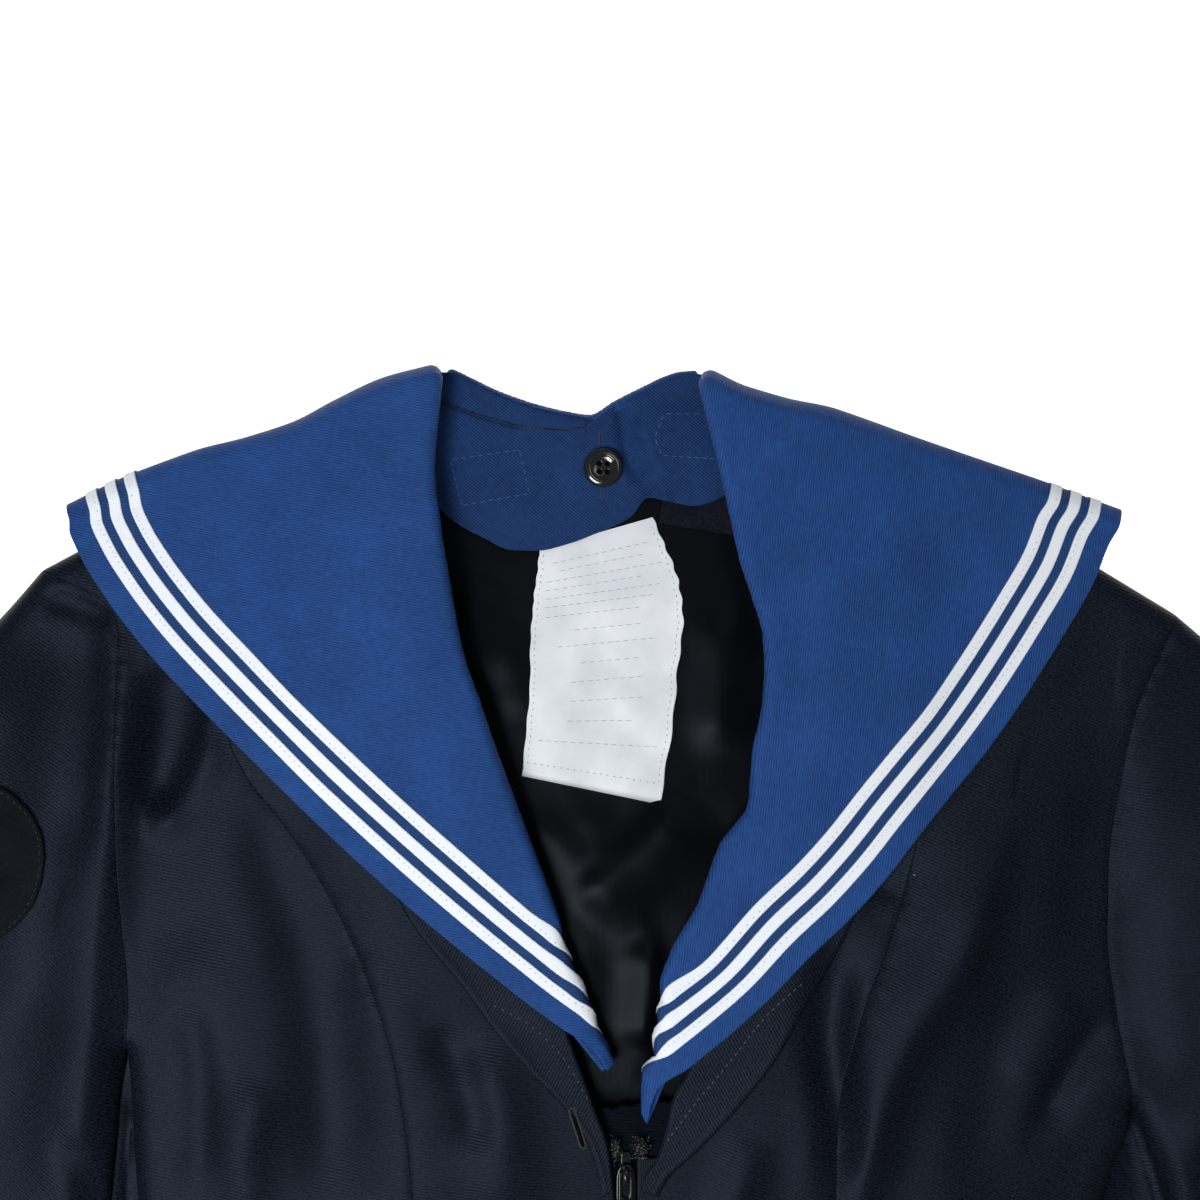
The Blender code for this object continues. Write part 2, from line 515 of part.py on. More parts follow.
def back_pieces(wool, satin):
    """The back, and the lining that lies on its inside below the neck."""
    away = {"right": -1, "left": 1}
    edges, pit_rows = {}, {}
    for side in ("right", "left"):
        rows = panel_rows(side)
        edge = outer_points(side, rows)
        pit_rows[side] = int(np.argmin(np.abs(rows - ARMHOLE[side][-1][0])))
        part = slice(0, pit_rows[side] + 1)
        edge[part] = shifted(edge[part], -away[side] * SEAM_GAP / 2)
        edges[side] = edge
    right, left = edges["right"], edges["left"]
    neck_x = [x for x, _ in BACK_NECK]
    top_x = [right[0, 0], -150] + neck_x[::2] + [neck_x[-1], 150, left[0, 0]]
    outline = sorted(EDGES["right"]["shoulder"]) + BACK_NECK[1:-1] + sorted(EDGES["left"]["shoulder"])
    span = left[:, 0] - right[:, 0]
    near = np.array([0, 1.2, 4.5, EDGE_ROUND])
    inside = (np.array(top_x[1:-1]) - right[0, 0]) / span[0]
    shares = np.concatenate([near[None, :] / span[:, None], np.repeat(inside[None], len(span), 0),
                             1 - near[None, ::-1] / span[:, None]], 1)
    plan = right[:, None, :] * (1 - shares[:, :, None]) + left[:, None, :] * shares[:, :, None]
    top_line = np.interp(plan[0, :, 0], [p[0] for p in outline], [p[1] for p in outline])
    drop = (right[0, 1] - right[:, 1]) / (right[0, 1] - HEM_Y)
    fade = (1 - drop) ** 2
    plan[:, :, 1] += (top_line - plan[0, :, 1])[None, :] * fade[:, None]
    on_edge = np.zeros(plan.shape[:2], bool)
    on_shoulder = (plan[0, :, 0] <= neck_x[0] + 0.01) | (plan[0, :, 0] >= neck_x[-1] - 0.01)
    on_edge[0] = on_shoulder
    on_edge[pit_rows["right"]:, 0] = True
    on_edge[pit_rows["left"]:, -1] = True
    outer, normal = skin(plan, False, "both", on_edge, ("shoulder", "flank"))
    seams = [((slice(0, pit_rows["right"] + 1), 0), plan[: pit_rows["right"] + 1, 0]),
             ((slice(0, pit_rows["left"] + 1), -1), plan[: pit_rows["left"] + 1, -1])]
    inner = inner_side(outer, normal, WOOL, seams)
    slab("back", outer, inner, wool)

    rows = slice(3, pit_rows["left"] + 3)
    columns = slice(4, plan.shape[1] - 4)
    low = inner[rows, columns] - LAY_GAP * normal[rows, columns]
    high = inner[rows, columns] - (LAY_GAP + SATIN) * normal[rows, columns]
    slab("back_lining", high, low, satin)


def cover(points):
    """1 over the revers and the neck opening, 0 well outside them."""
    shares = []
    for side, away in (("right", -1), ("left", 1)):
        edge_x = column(REVERS_EDGE[side], points[:, 1])
        shares.append(1 - smooth((away * (points[:, 0] - edge_x) - COVER_MARGIN) / COVER_RAMP))
    return np.minimum(*shares)


def lapel_height(points):
    """Height of the middle of the collar's cloth where it lies on the front."""
    return crown(points, False) + (LAY_GAP + WOOL) * cover(points) + LAPEL_GAP + DRILL / 2


def collar_stations():
    """One entry for each line across the collar, from the right lapel's tip round to the left one's.

    Each holds place, a point from its distance in from the outer edge; start, the distance at which the roll
    starts; its heading and radius; tuck, a point of the strip turned in under it; and that strip's width.
    """
    front = {}
    for side in ("right", "left"):
        table = np.array(LAPEL[side], float)
        edge, roll = table[:, :2], table[:, 2:4]
        line = np.vstack([edge, SHOULDER_LINE[side][0]])
        step = unit(np.diff(line, axis=0))
        turn = 1 if side == "right" else -1
        normal = turn * np.stack([step[:, 1], -step[:, 0]], 1)
        before = np.vstack([normal[:1], normal[:-1]])
        mitre = unit(before + normal)
        mitre = mitre / np.maximum((mitre * normal).sum(1), 0.5)[:, None]
        front[side] = [lapel_station(edge[k], roll[k], mitre[k], *table[k, 4:]) for k in range(len(table))]
    flap = []
    edge = np.array([row[:2] for row in FLAP], float)
    for k, row in enumerate(FLAP):
        before = unit(edge[k] - edge[k - 1]) if k else np.array([0.0, -1.0])
        after = unit(edge[k + 1] - edge[k]) if k + 1 < len(FLAP) else np.array([0.0, 1.0])
        normals = [np.array([-v[1], v[0]]) for v in (before, after)]
        mitre = unit(normals[0] + normals[1])
        mitre = mitre / (mitre @ normals[1])
        flap.append(flap_station(edge[k], np.array(row[2:], float), mitre))
    right_fold = [fold_station("right", angle) for angle in FOLD_ANGLES]
    left_fold = [fold_station("left", angle) for angle in FOLD_ANGLES[::-1]]
    return front["right"] + right_fold + flap + left_fold + front["left"][::-1]


def two_leg_path(edge, mitre, end, leg):
    """Plan path from the outer edge: square to the edge for a leg, then straight to the end."""
    knee = edge + leg * mitre
    rest = np.linalg.norm(end - knee)

    def path(distance):
        if distance <= leg or rest < 1e-6:
            return edge + distance * mitre
        return knee + (end - knee) * (distance - leg) / rest

    return path, leg + rest


def lapel_station(edge, roll, mitre, lift, radius, turn_in):
    span = np.linalg.norm(roll - edge)
    leg = BAND if span > BAND + 12 else 0.0
    path, total = two_leg_path(edge, mitre if leg else unit(roll - edge), roll, leg)
    start = total - radius
    heading = np.append(unit(roll - path(start)), 0)

    def ramp(distance):
        return lift * (0.6 + 0.4 * distance / max(start, 1))

    def place(distance):
        spot = path(distance)
        return np.append(spot, lapel_height(spot[None])[0] + ramp(distance))

    def tuck(distance):
        spot = path(start) - heading[:2] * distance
        return np.append(spot, lapel_height(spot[None])[0] + ramp(start) - 2 * radius)

    return dict(place=place, start=start, tuck=tuck, heading=heading, radius=radius, turn_in=turn_in)


def fold_station(side, angle):
    corner, neck = (np.array(p, float) for p in SHOULDER_LINE[side])
    along = unit(neck - corner)
    out = np.array([-along[1], along[0]]) * (1 if side == "right" else -1)
    length = np.linalg.norm(neck - corner)
    radius = FRONT_ROLL
    start = length - radius
    turn = math.radians(angle)

    def ellipse(distance, shrink):
        centre = corner + along * distance - SHOULDER_FOLD * out
        top = lapel_height(centre[None])[0]
        middle, half = (top + FLAP_MID_Z) / 2, (top - FLAP_MID_Z) / 2
        wide = max(SHOULDER_FOLD - shrink, 1.5)
        spot = centre + out * wide * math.cos(turn)
        return np.append(spot, middle + (half - shrink) * math.sin(turn))

    return dict(place=lambda distance: ellipse(distance, 0), start=start,
                tuck=lambda distance: ellipse(start - distance, 2 * radius), heading=np.append(along, 0),
                radius=radius, turn_in=SHOULDER_TURN_IN)


def flap_station(edge, neck_fold, mitre):
    heading = np.array([0.0, 1.0])
    base = neck_fold - BACK_ROLL * heading
    path, total = two_leg_path(edge, mitre, base, BAND)
    tuck_z = FLAP_MID_Z + 2 * BACK_ROLL
    return dict(place=lambda distance: np.append(path(distance), FLAP_MID_Z), start=total,
                tuck=lambda distance: np.append(base - heading * distance, tuck_z),
                heading=np.append(heading, 0), radius=BACK_ROLL, turn_in=FLAP_TURN_IN)


# Distances in from the outer edge to both edges of each tape
TAPE_LINES = tuple(EDGE_MARGIN + n * (TAPE_WIDTH + TAPE_SPACE) + w for n in range(3) for w in (0, TAPE_WIDTH))
BAND = TAPE_LINES[-1]
ROLL_STEPS = 4
FALL_SHARES = (0.25, 0.5, 0.75)
ROW_SPACE = 0.25  # least distance between rows where the lapel's tip leaves them no room


def station_point(station, distance):
    """A point of the collar's middle surface, past the roll too."""
    start, radius = station["start"], station["radius"]
    if distance <= start:
        return station["place"](distance)
    bend = (distance - start) / radius
    if bend > math.pi:
        return station["tuck"](distance - start - math.pi * radius)
    begin, end = station["place"](start), station["tuck"](0)
    middle, half = (begin + end) / 2, (begin - end) / 2
    return middle + half * math.cos(bend) + station["heading"] * radius * math.sin(bend)


def collar_grid():
    """Middle surface of the collar: rows are stations, columns run from the outer edge to the turned-in edge."""
    grid = []
    for station in collar_stations():
        start, radius = station["start"], station["radius"]
        last = start + math.pi * radius + station["turn_in"]
        wanted = [0, *TAPE_LINES, *(BAND + (start - BAND) * share for share in FALL_SHARES)]
        wanted += [start + math.pi * radius * k / ROLL_STEPS for k in range(ROLL_STEPS + 1)] + [last]
        count = len(wanted)
        distances = [wanted[0]]
        for k, value in enumerate(wanted[1:], 1):
            value = max(value, distances[-1] + ROW_SPACE)
            distances.append(min(value, last - ROW_SPACE * (count - 1 - k)))
        grid.append([station_point(station, d) for d in distances])
    return np.array(grid)


def grid_normals(grid):
    along, over = np.gradient(grid, axis=0), np.gradient(grid, axis=1)
    return unit(np.cross(over, along))


def collar_pieces(drill, cotton):
    grid = collar_grid()
    normal = grid_normals(grid)
    slab("collar", grid + normal * DRILL / 2, grid - normal * DRILL / 2, drill)
    for number, name in enumerate(("outer", "middle", "inner")):
        rows = slice(TAPE_END["right"][name], len(grid) - TAPE_END["left"][name])
        part = rows, slice(1 + 2 * number, 3 + 2 * number)
        low = grid[part] + normal[part] * (DRILL / 2 + LAY_GAP)
        high = grid[part] + normal[part] * (DRILL / 2 + LAY_GAP + TAPE)
        slab(f"collar_tape_{name}", high, low, cotton)


def flat_slab(name, plan, low, high, material_used):
    ones = np.ones(plan.shape[:2] + (1,))
    slab(name, np.concatenate([plan, ones * high], 2), np.concatenate([plan, ones * low], 2), material_used)


def yoke(drill):
    table = np.array(YOKE, float)
    upper = np.stack([table[:, 0], table[:, 1]], 1)
    lower = np.stack([table[:, 0], table[:, 2]], 1)
    flat_slab("collar_yoke", ruled(upper, lower, (0, 0.5, 1)), YOKE_Z, YOKE_Z + DRILL, drill)


def lining_top():
    return BACK_LIFT + WOOL + LAY_GAP + SATIN


def label(white):
    table = np.array(LABEL, float)
    low = lining_top() + LAY_GAP
    flat_slab("label", ruled(table[:, :2], table[:, 2:], (0, 0.5, 1)), low, low + SATIN, white)


def hook_tape(nylon):
    turn = math.radians(HOOK_TURN)
    along = np.array([math.cos(turn), math.sin(turn)])
    over = np.array([-along[1], along[0]])
    half = np.array(HOOK_SIZE) / 2
    start = np.array(HOOK_CENTRE) - along * half[0]
    left = np.array([start + over * half[1], start - over * half[1]])
    plan = left[:, None, :] + np.linspace(0, 1, 3)[None, :, None] * along * HOOK_SIZE[0]
    low = lining_top() + LAY_GAP
    flat_slab("hook_tape", plan, low, low + SATIN, nylon)


def turned(profile, centre, segments=28):
    """A bmesh lathe about a vertical axis. Columns of profile: radius, z; it starts and ends on the axis."""
    shape = bmesh.new()
    rings = []
    for radius, z in profile:
        if radius == 0:
            rings.append([shape.verts.new((centre[0], centre[1], z))])
            continue
        angles = [2 * math.pi * k / segments for k in range(segments)]
        rings.append([shape.verts.new((centre[0] + radius * math.cos(a), centre[1] + radius * math.sin(a), z))
                      for a in angles])
    for lower, upper in zip(rings[:-1], rings[1:]):
        for k in range(segments):
            after = (k + 1) % segments
            if len(lower) == 1:
                shape.faces.new((lower[0], upper[k], upper[after]))
            elif len(upper) == 1:
                shape.faces.new((lower[k], lower[after], upper[0]))
            else:
                shape.faces.new((lower[k], lower[after], upper[after], upper[k]))
    return shape


def button(horn):
    low = YOKE_Z + DRILL + LAY_GAP
    radius = BUTTON_DIAMETER / 2
    profile = [(0, low), (radius - 1.2, low), (radius, low + 1.0), (radius, low + 2.2),
               (radius - 0.9, low + BUTTON_HEIGHT), (radius - 2.2, low + BUTTON_HEIGHT),
               (radius - 3.2, low + 2.2), (0, low + 2.2)]
    body = solid_in_drawing("neck_button", turned(profile, BUTTON_CENTRE), horn)
    hole_spread = 1.5
    for number, (sx, sy) in enumerate(((1, 1), (-1, 1), (-1, -1), (1, -1))):
        centre = (BUTTON_CENTRE[0] + sx * hole_spread, BUTTON_CENTRE[1] + sy * hole_spread)
        bore = [(0, low - 1), (0.8, low - 1), (0.8, low + BUTTON_HEIGHT + 1), (0, low + BUTTON_HEIGHT + 1)]
        cutter = solid_in_drawing(f"button_bore_{number}", turned(bore, centre, 10), horn)
        cutter.hide_render = True
        cutter.display_type = "WIRE"
        cut = body.modifiers.new(f"bore_{number}", "BOOLEAN")
        cut.operation = "DIFFERENCE"
        cut.object = cutter


def badge(felt):
    """A round felt patch laid on the right sleeve: rings of points over the sleeve's skin."""
    radii = np.array([0.01, 10, 20, BADGE_RADIUS])
    turns = np.linspace(0, 2 * math.pi, 33)[:-1]
    plan = np.array([[(BADGE_CENTRE[0] + r * math.cos(a), BADGE_CENTRE[1] + r * math.sin(a)) for a in turns]
                     for r in radii])
    outer, normal = skin(plan, True, "right", np.zeros(plan.shape[:2], bool), ("outer",))
    shape = bmesh.new()
    rings = []
    for lift in (0.9, 0.9 + FELT):
        points = outer + lift * normal
        middle = shape.verts.new(points[0].mean(0))
        rings.append([[middle]] + [[shape.verts.new(p) for p in ring] for ring in points[1:]])
    count = len(turns)
    for layer in rings:
        for k in range(count):
            after = (k + 1) % count
            shape.faces.new((layer[0][0], layer[1][k], layer[1][after]))
            for inner_ring, outer_ring in zip(layer[1:-1], layer[2:]):
                shape.faces.new((inner_ring[k], outer_ring[k], outer_ring[after], inner_ring[after]))
    for k in range(count):
        after = (k + 1) % count
        shape.faces.new((rings[0][-1][k], rings[0][-1][after], rings[1][-1][after], rings[1][-1][k]))
    solid_in_drawing("arm_badge", shape, felt)


def box(shape, low, high):
    made = bmesh.ops.create_cube(shape, size=1)["verts"]
    for vertex in made:
        for axis in range(3):
            middle, size = (low[axis] + high[axis]) / 2, high[axis] - low[axis]
            vertex.co[axis] = middle + vertex.co[axis] * size
    return made


def block(name, low, high, bevel, material_used):
    shape = bmesh.new()
    box(shape, low, high)
    if bevel:
        bmesh.ops.bevel(shape, geom=shape.edges[:], offset=bevel, segments=1, affect="EDGES")
    return solid_in_drawing(name, shape, material_used)


def outline_solid(name, outline, holes, low, high, material_used, pivot=None):
    """A plate in the XY plane from a closed outline with rectangular holes, joined as one body."""
    shape = bmesh.new()
    for z in (low, high):
        edges = []
        for ring in [outline] + holes:
            verts = [shape.verts.new((x, y, z)) for x, y in ring]
            edges += [shape.edges.new((verts[k], verts[(k + 1) % len(verts)])) for k in range(len(verts))]
        bmesh.ops.triangle_fill(shape, edges=edges, use_beauty=True)
    shape.verts.ensure_lookup_table()
    half = len(shape.verts) // 2
    first = 0
    for ring in [outline] + holes:
        for k in range(len(ring)):
            a, b = first + k, first + (k + 1) % len(ring)
            corners = [shape.verts[a], shape.verts[b], shape.verts[b + half], shape.verts[a + half]]
            shape.faces.new(corners)
        first += len(ring)
    return solid_in_drawing(name, shape, material_used, pivot)


def zip_pieces(wool, tape_cloth, nylon, metal):
    half_chain = CHAIN_WIDTH / 2
    for side, away in (("right", -1), ("left", 1)):
        near = ZIP_X + away * (half_chain + 0.4)
        far = near + away * ZIP_TAPE_WIDTH
        x = sorted((near, far))
        block(f"zip_tape_{side}", (x[0], HEM_Y + 3, ZIP_TAPE_Z[0]), (x[1], ZIP_TOP_Y, ZIP_TAPE_Z[1]), 0, tape_cloth)
        end = sorted((ZIP_X + away * 1.8, ZIP_X + away * (6.0 if side == "right" else 9.6)))
        block(f"zip_end_{side}", (end[0], ZIP_TOP_Y - 7.4, ZIP_TAPE_Z[1] + LAY_GAP),
              (end[1], ZIP_TOP_Y + 1.5, ZIP_TAPE_Z[1] + LAY_GAP + 2.6), 0.8, nylon)
    low_y = SLIDER_TOP_Y - SLIDER_SIZE[1]
    block("zip_chain", (ZIP_X - half_chain, HEM_Y + 3, CHAIN_Z[0]), (ZIP_X + half_chain, low_y - 0.4, CHAIN_Z[1]),
          0.5, nylon)
    block("zip_guard", (ZIP_X - GUARD_WIDTH / 2, HEM_Y + 3, GUARD_Z[0]), (ZIP_X + GUARD_WIDTH / 2, -191, GUARD_Z[1]),
          0, wool)
    slider(metal)


def slider(metal):
    """The slider with its bridge, and the pull that turns on a bar through the bridge."""
    low_z = CHAIN_Z[0]
    top_z = low_z + SLIDER_SIZE[2]
    low_y = SLIDER_TOP_Y - SLIDER_SIZE[1]
    half = SLIDER_SIZE[0] / 2
    body_plan = [(ZIP_X - 2.6, SLIDER_TOP_Y), (ZIP_X - half, SLIDER_TOP_Y - 3), (ZIP_X - half, low_y),
                 (ZIP_X + half, low_y), (ZIP_X + half, SLIDER_TOP_Y - 3), (ZIP_X + 2.6, SLIDER_TOP_Y)]
    body = outline_solid("zip_slider", body_plan, [], low_z, top_z, metal)
    bridge_half, bridge_top, wall = 0.8, top_z + 2.9, 0.9
    start_y, end_y = SLIDER_TOP_Y - 0.8, SLIDER_TOP_Y - 8.0
    for number, (y0, y1, z0, z1) in enumerate(((start_y - wall, start_y, top_z - 0.5, bridge_top),
                                               (end_y, end_y + wall, top_z - 0.5, bridge_top),
                                               (end_y, start_y, bridge_top - wall, bridge_top))):
        piece = block(f"bridge_part_{number}", (ZIP_X - bridge_half, y0, z0), (ZIP_X + bridge_half, y1, z1), 0, metal)
        piece.hide_render = True
        piece.display_type = "WIRE"
        join = body.modifiers.new(f"bridge_{number}", "BOOLEAN")
        join.operation = "UNION"
        join.object = piece
    bar_y = start_y - wall - PULL_BAR / 2 - 0.5
    bar_z = top_z + 0.35 + PULL_THICK / 2
    half_pull = PULL_WIDTH / 2
    top = bar_y + PULL_BAR / 2
    outline = [(ZIP_X - half_pull, top - 0.8), (ZIP_X - half_pull, top - PULL_LENGTH + 2),
               (ZIP_X - half_pull + 1, top - PULL_LENGTH), (ZIP_X + half_pull - 1, top - PULL_LENGTH),
               (ZIP_X + half_pull, top - PULL_LENGTH + 2), (ZIP_X + half_pull, top - 0.8),
               (ZIP_X + half_pull - 0.8, top), (ZIP_X - half_pull + 0.8, top)]
    slot_top, slot_end, slot_half = top - PULL_BAR, top - PULL_SLOT, PULL_WIDTH / 2 - PULL_BAR
    hole = [(ZIP_X - slot_half, slot_top), (ZIP_X + slot_half, slot_top),
            (ZIP_X + slot_half, slot_end), (ZIP_X - slot_half, slot_end)]
    outline_solid("zip_pull", outline, [hole], bar_z - PULL_THICK / 2, bar_z + PULL_THICK / 2, metal,
                  (ZIP_X, bar_y, bar_z))


def main():
    for old in list(bpy.data.objects):
        bpy.data.objects.remove(old, do_unlink=True)
    wool = material("wool_serge", (0.009, 0.010, 0.016), 0.9)
    drill = material("blue_drill", (0.016, 0.055, 0.25), 0.8)
    cotton = material("white_tape", (0.82, 0.84, 0.88), 0.75)
    satin = material("black_satin", (0.006, 0.007, 0.008), 0.35)
    white = material("label_satin", (0.7, 0.71, 0.74), 0.4)
    nylon = material("black_nylon", (0.008, 0.008, 0.009), 0.6)
    felt = material("black_felt", (0.006, 0.006, 0.008), 0.95)
    horn = material("black_plastic", (0.006, 0.006, 0.007), 0.15)
    metal = material("black_metal", (0.02, 0.02, 0.022), 0.3, 0.8)

    back_pieces(wool, satin)
    for side in ("right", "left"):
        front_centre(side, wool)
        front_side(side, wool)
        sleeve(side, True, wool)
        sleeve(side, False, wool)
    collar_pieces(drill, cotton)
    yoke(drill)
    label(white)
    hook_tape(nylon)
    button(horn)
    badge(felt)
    zip_pieces(wool, nylon, nylon, metal)


if __name__ == "__main__":
    main()
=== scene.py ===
"""Looks of a sailor jumper with a blue drill collar, laid flat on its back with the front up.

Every cloth piece is a thin shell over a grid of points, in the millimetres of one drawing: x to the viewer's right,
y towards the neck, z up from the surface that the jumper lies on. Sides in the names are the wearer's, so the
wearer's right is at -x. to_frame turns that drawing into the metres of the packed model.
"""
import math

import bpy
import numpy as np
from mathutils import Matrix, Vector


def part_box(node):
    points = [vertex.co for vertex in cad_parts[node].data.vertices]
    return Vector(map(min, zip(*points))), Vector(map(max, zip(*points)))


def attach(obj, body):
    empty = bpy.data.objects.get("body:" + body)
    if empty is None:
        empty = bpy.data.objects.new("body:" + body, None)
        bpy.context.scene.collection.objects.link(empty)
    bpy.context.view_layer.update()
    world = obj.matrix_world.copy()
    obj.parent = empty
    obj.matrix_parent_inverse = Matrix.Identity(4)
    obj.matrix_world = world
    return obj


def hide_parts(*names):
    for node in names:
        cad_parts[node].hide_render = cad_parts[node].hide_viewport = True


bl_info = {
    "name": "Sailor jumper",
    "version": (1, 0, 0),
    "blender": (4, 5, 0),
    "location": "View3D > Sidebar > Jumper",
    "description": "Cloth, sewing, zip and stage of a sailor jumper laid flat",
    "category": "Object",
}

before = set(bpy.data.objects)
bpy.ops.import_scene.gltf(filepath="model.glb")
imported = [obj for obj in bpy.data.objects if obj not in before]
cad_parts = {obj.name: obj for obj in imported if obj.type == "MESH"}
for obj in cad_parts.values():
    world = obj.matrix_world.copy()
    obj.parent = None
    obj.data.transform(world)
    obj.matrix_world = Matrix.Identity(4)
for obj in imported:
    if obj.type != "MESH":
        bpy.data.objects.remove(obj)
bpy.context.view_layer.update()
GARMENT = "garment"
PULL = "pull_tab"

MM = 0.001
ROW_ORIGIN = (5.5, -256.15)

# Cloth of the packed solids, and the finer cloth laid in their place
WOOL = 1.6
DRILL = 1.4
TAPE = 1.0
SATIN = 1.0
LAY_GAP = 0.3
SEAM_GAP = 0.3
SEAM_EDGE = 0.3
FINE_GAP = 0.08
SEAM_DIP = 0.5
SEAM_DIP_WIDTH = 1.7
PUCKER = 0.22
PUCKER_LENGTH = 8.5
PUCKER_WIDTH = 6.0
FINE_TAPE = 0.55
FINE_SATIN = 0.5
FINE_YOKE = 0.9
FINE_LABEL = 0.35

PHOTO_MIDDLE = 600
CLOTH_SCALE = 0.381  # mm in a pixel, at the height of the fronts
YOKE_SCALE = 0.383  # and at the lower height of the yoke

HEM_Y = -530.0
UNDERARM_LAP = 2.9  # the underarm of the back fills the gap to the sleeve, and goes this far under it
UNDERARM_END = -285.0
PIT_LAP = 2.6  # more of that lap, where the armhole ends
PIT_FADE = 12.0
SEEN_Y = -245.0  # the camera sees the jumper above this line, so its grids are finer there
MID_Z = 8.0
EDGE_ROUND = 9.0
BODY_Z = 15.0
NECK_RISE = 9.0
NECK_RISE_X = 62.0
NECK_RISE_WIDTH = 60.0

FLAP_RIGHT_X = -205.0
FLAP_LEFT_X = 200.0
FLAP_TOP_RIGHT_X = -196.0
FLAP_TOP_LEFT_X = 191.0
FLAP_BOTTOM_Y = -160.0
FLAP_MID_Z = TAPE + LAY_GAP + DRILL / 2
BACK_LIFT = FLAP_MID_Z + DRILL / 2 + 0.5
LIFT_MARGIN = 28.0
LIFT_RAMP = 20.0
EDGE_MARGIN = 8.7
LAPEL_GAP = 0.95
COVER_MARGIN = 3.0
COVER_RAMP = 22.0
FRONT_ROLL = 3.4
BACK_ROLL = 3.5
BACK_BULGE = 0.55  # share of its radius by which the neck fold bulges in plan
SHOULDER_FOLD = 7.0
FOLD_GAIN = 1.18
FOLD_DEPTH = 8.0  # no fold is deeper, so that the fronts clear the lining

# Columns: y, x
NECK_EDGE = {
    "right": [(80.5, -66.5), (44, -67), (16, -63), (-15, -58.2), (-45.5, -48), (-76, -38), (-106, -28),
              (-121, -22.5), (-136, -19), (-150, -16.5), (-167, -12), (-182, -6.5), (-195, -1.9), (-209, 3),
              (-221, 4.6), (-229, 5.2), (-245, 6.8), (HEM_Y, 6.8)],
    "left": [(80.5, 45.5), (57, 49), (22, 56.5), (0, 64), (-20, 67.5), (-40, 67.5), (-76, 62), (-98, 49),
             (-121, 41), (-136, 40), (-150, 40), (-165, 39), (-180, 34), (-190, 28.3), (-205, 24.8),
             (-213.5, 22), (-220, 17.2), (-227, 15.3), (-245, 13), (HEM_Y, 13)],
}
REVERS_EDGE = {
    "right": [(80.5, -104), (0, -108), (-60, -96), (-119, -73.3), (-145, -53), (-161, -41.6), (-178, -27),
              (-195, -11.5), (-209, -3.5), (-224, 0), (-245, -6), (HEM_Y, -14)],
    "left": [(80.5, 90), (0, 108), (-60, 112), (-119, 97), (-145, 83.7), (-151, 79.5), (-174, 67.2),
             (-193, 52.3), (-209, 37), (-220, 25.6), (-232, 21), (-245, 26), (HEM_Y, 34)],
}
PRINCESS_SEAM = {
    "right": [(50, -142), (10, -145), (-20, -146), (-53, -141.7), (-68, -135), (-88, -120), (-107, -108),
              (-128, -96.6), (-152, -86.3), (-179, -78), (-229, -71.4), (-330, -66), (-430, -74), (HEM_Y, -82)],
    "left": [(44, 140), (20, 142), (-10, 140), (-50, 133), (-80, 124), (-101, 119), (-120, 114), (-138, 108),
             (-156, 100.8), (-201, 91.3), (-229, 90), (-330, 80), (-430, 88), (HEM_Y, 96)],
}
ARMHOLE = {
    "right": [(11.5, -214.8), (9.2, -209.4), (6.9, -203.3), (3, -195.3), (-1, -190), (-9.2, -184.6),
              (-15.3, -184), (-34, -184.6), (-95, -184), (-120, -182.6), (-154, -180.3), (-173, -181.9)],
    "left": [(-5.4, 221.3), (-18.4, 215.6), (-32.5, 209), (-43, 205), (-71, 199.5), (-105, 195.3),
             (-129, 195.3), (-159, 198.7), (-194, 204.5)],
}
SIDE_EDGE = {
    "right": [(-173, -181.9), (-190, -180.5), (-210, -179.5), (-230, -178), (-300, -171), (-380, -177),
              (-460, -191), (HEM_Y, -203)],
    "left": [(-194, 204.5), (-205, 203), (-214, 199), (-228, 194), (-300, 184), (-380, 190), (-460, 204),
             (HEM_Y, 216)],
}
# Columns: share of the sleeve's length, outer x, outer y, inner x, inner y
SLEEVE = {
    "right": [(0.00, -214.8, 11.5, -181.9, -173), (0.04, -230, -6, -184.5, -188), (0.10, -262, -36, -187, -212),
              (0.18, -299, -84, -190, -242), (0.28, -327, -146, -197, -283), (0.40, -345, -218, -209, -335),
              (0.55, -361, -308, -230, -402), (0.70, -375, -397, -253, -468), (0.85, -387, -481, -275, -531),
              (1.00, -397, -560, -291, -585)],
    "left": [(0.00, 221.3, -5.4, 204.5, -194), (0.04, 238, -20, 209.5, -206), (0.10, 267, -52, 216.5, -226),
             (0.18, 300, -99, 224, -253), (0.28, 330, -162, 234, -294), (0.40, 349, -234, 246, -345),
             (0.55, 366, -324, 261, -413), (0.70, 382, -413, 275, -479), (0.85, 396, -497, 289, -542),
             (1.00, 408, -577, 302, -602)],
}
SLEEVE_CAP_FADE = 0.08
# Columns: x, y
BACK_NECK = [(-66.5, 80.5), (-55, 78), (-45, 75), (-25, 68.5), (-5, 65), (5, 69), (18, 75), (27, 77.5),
             (37, 79), (45.5, 80.5)]

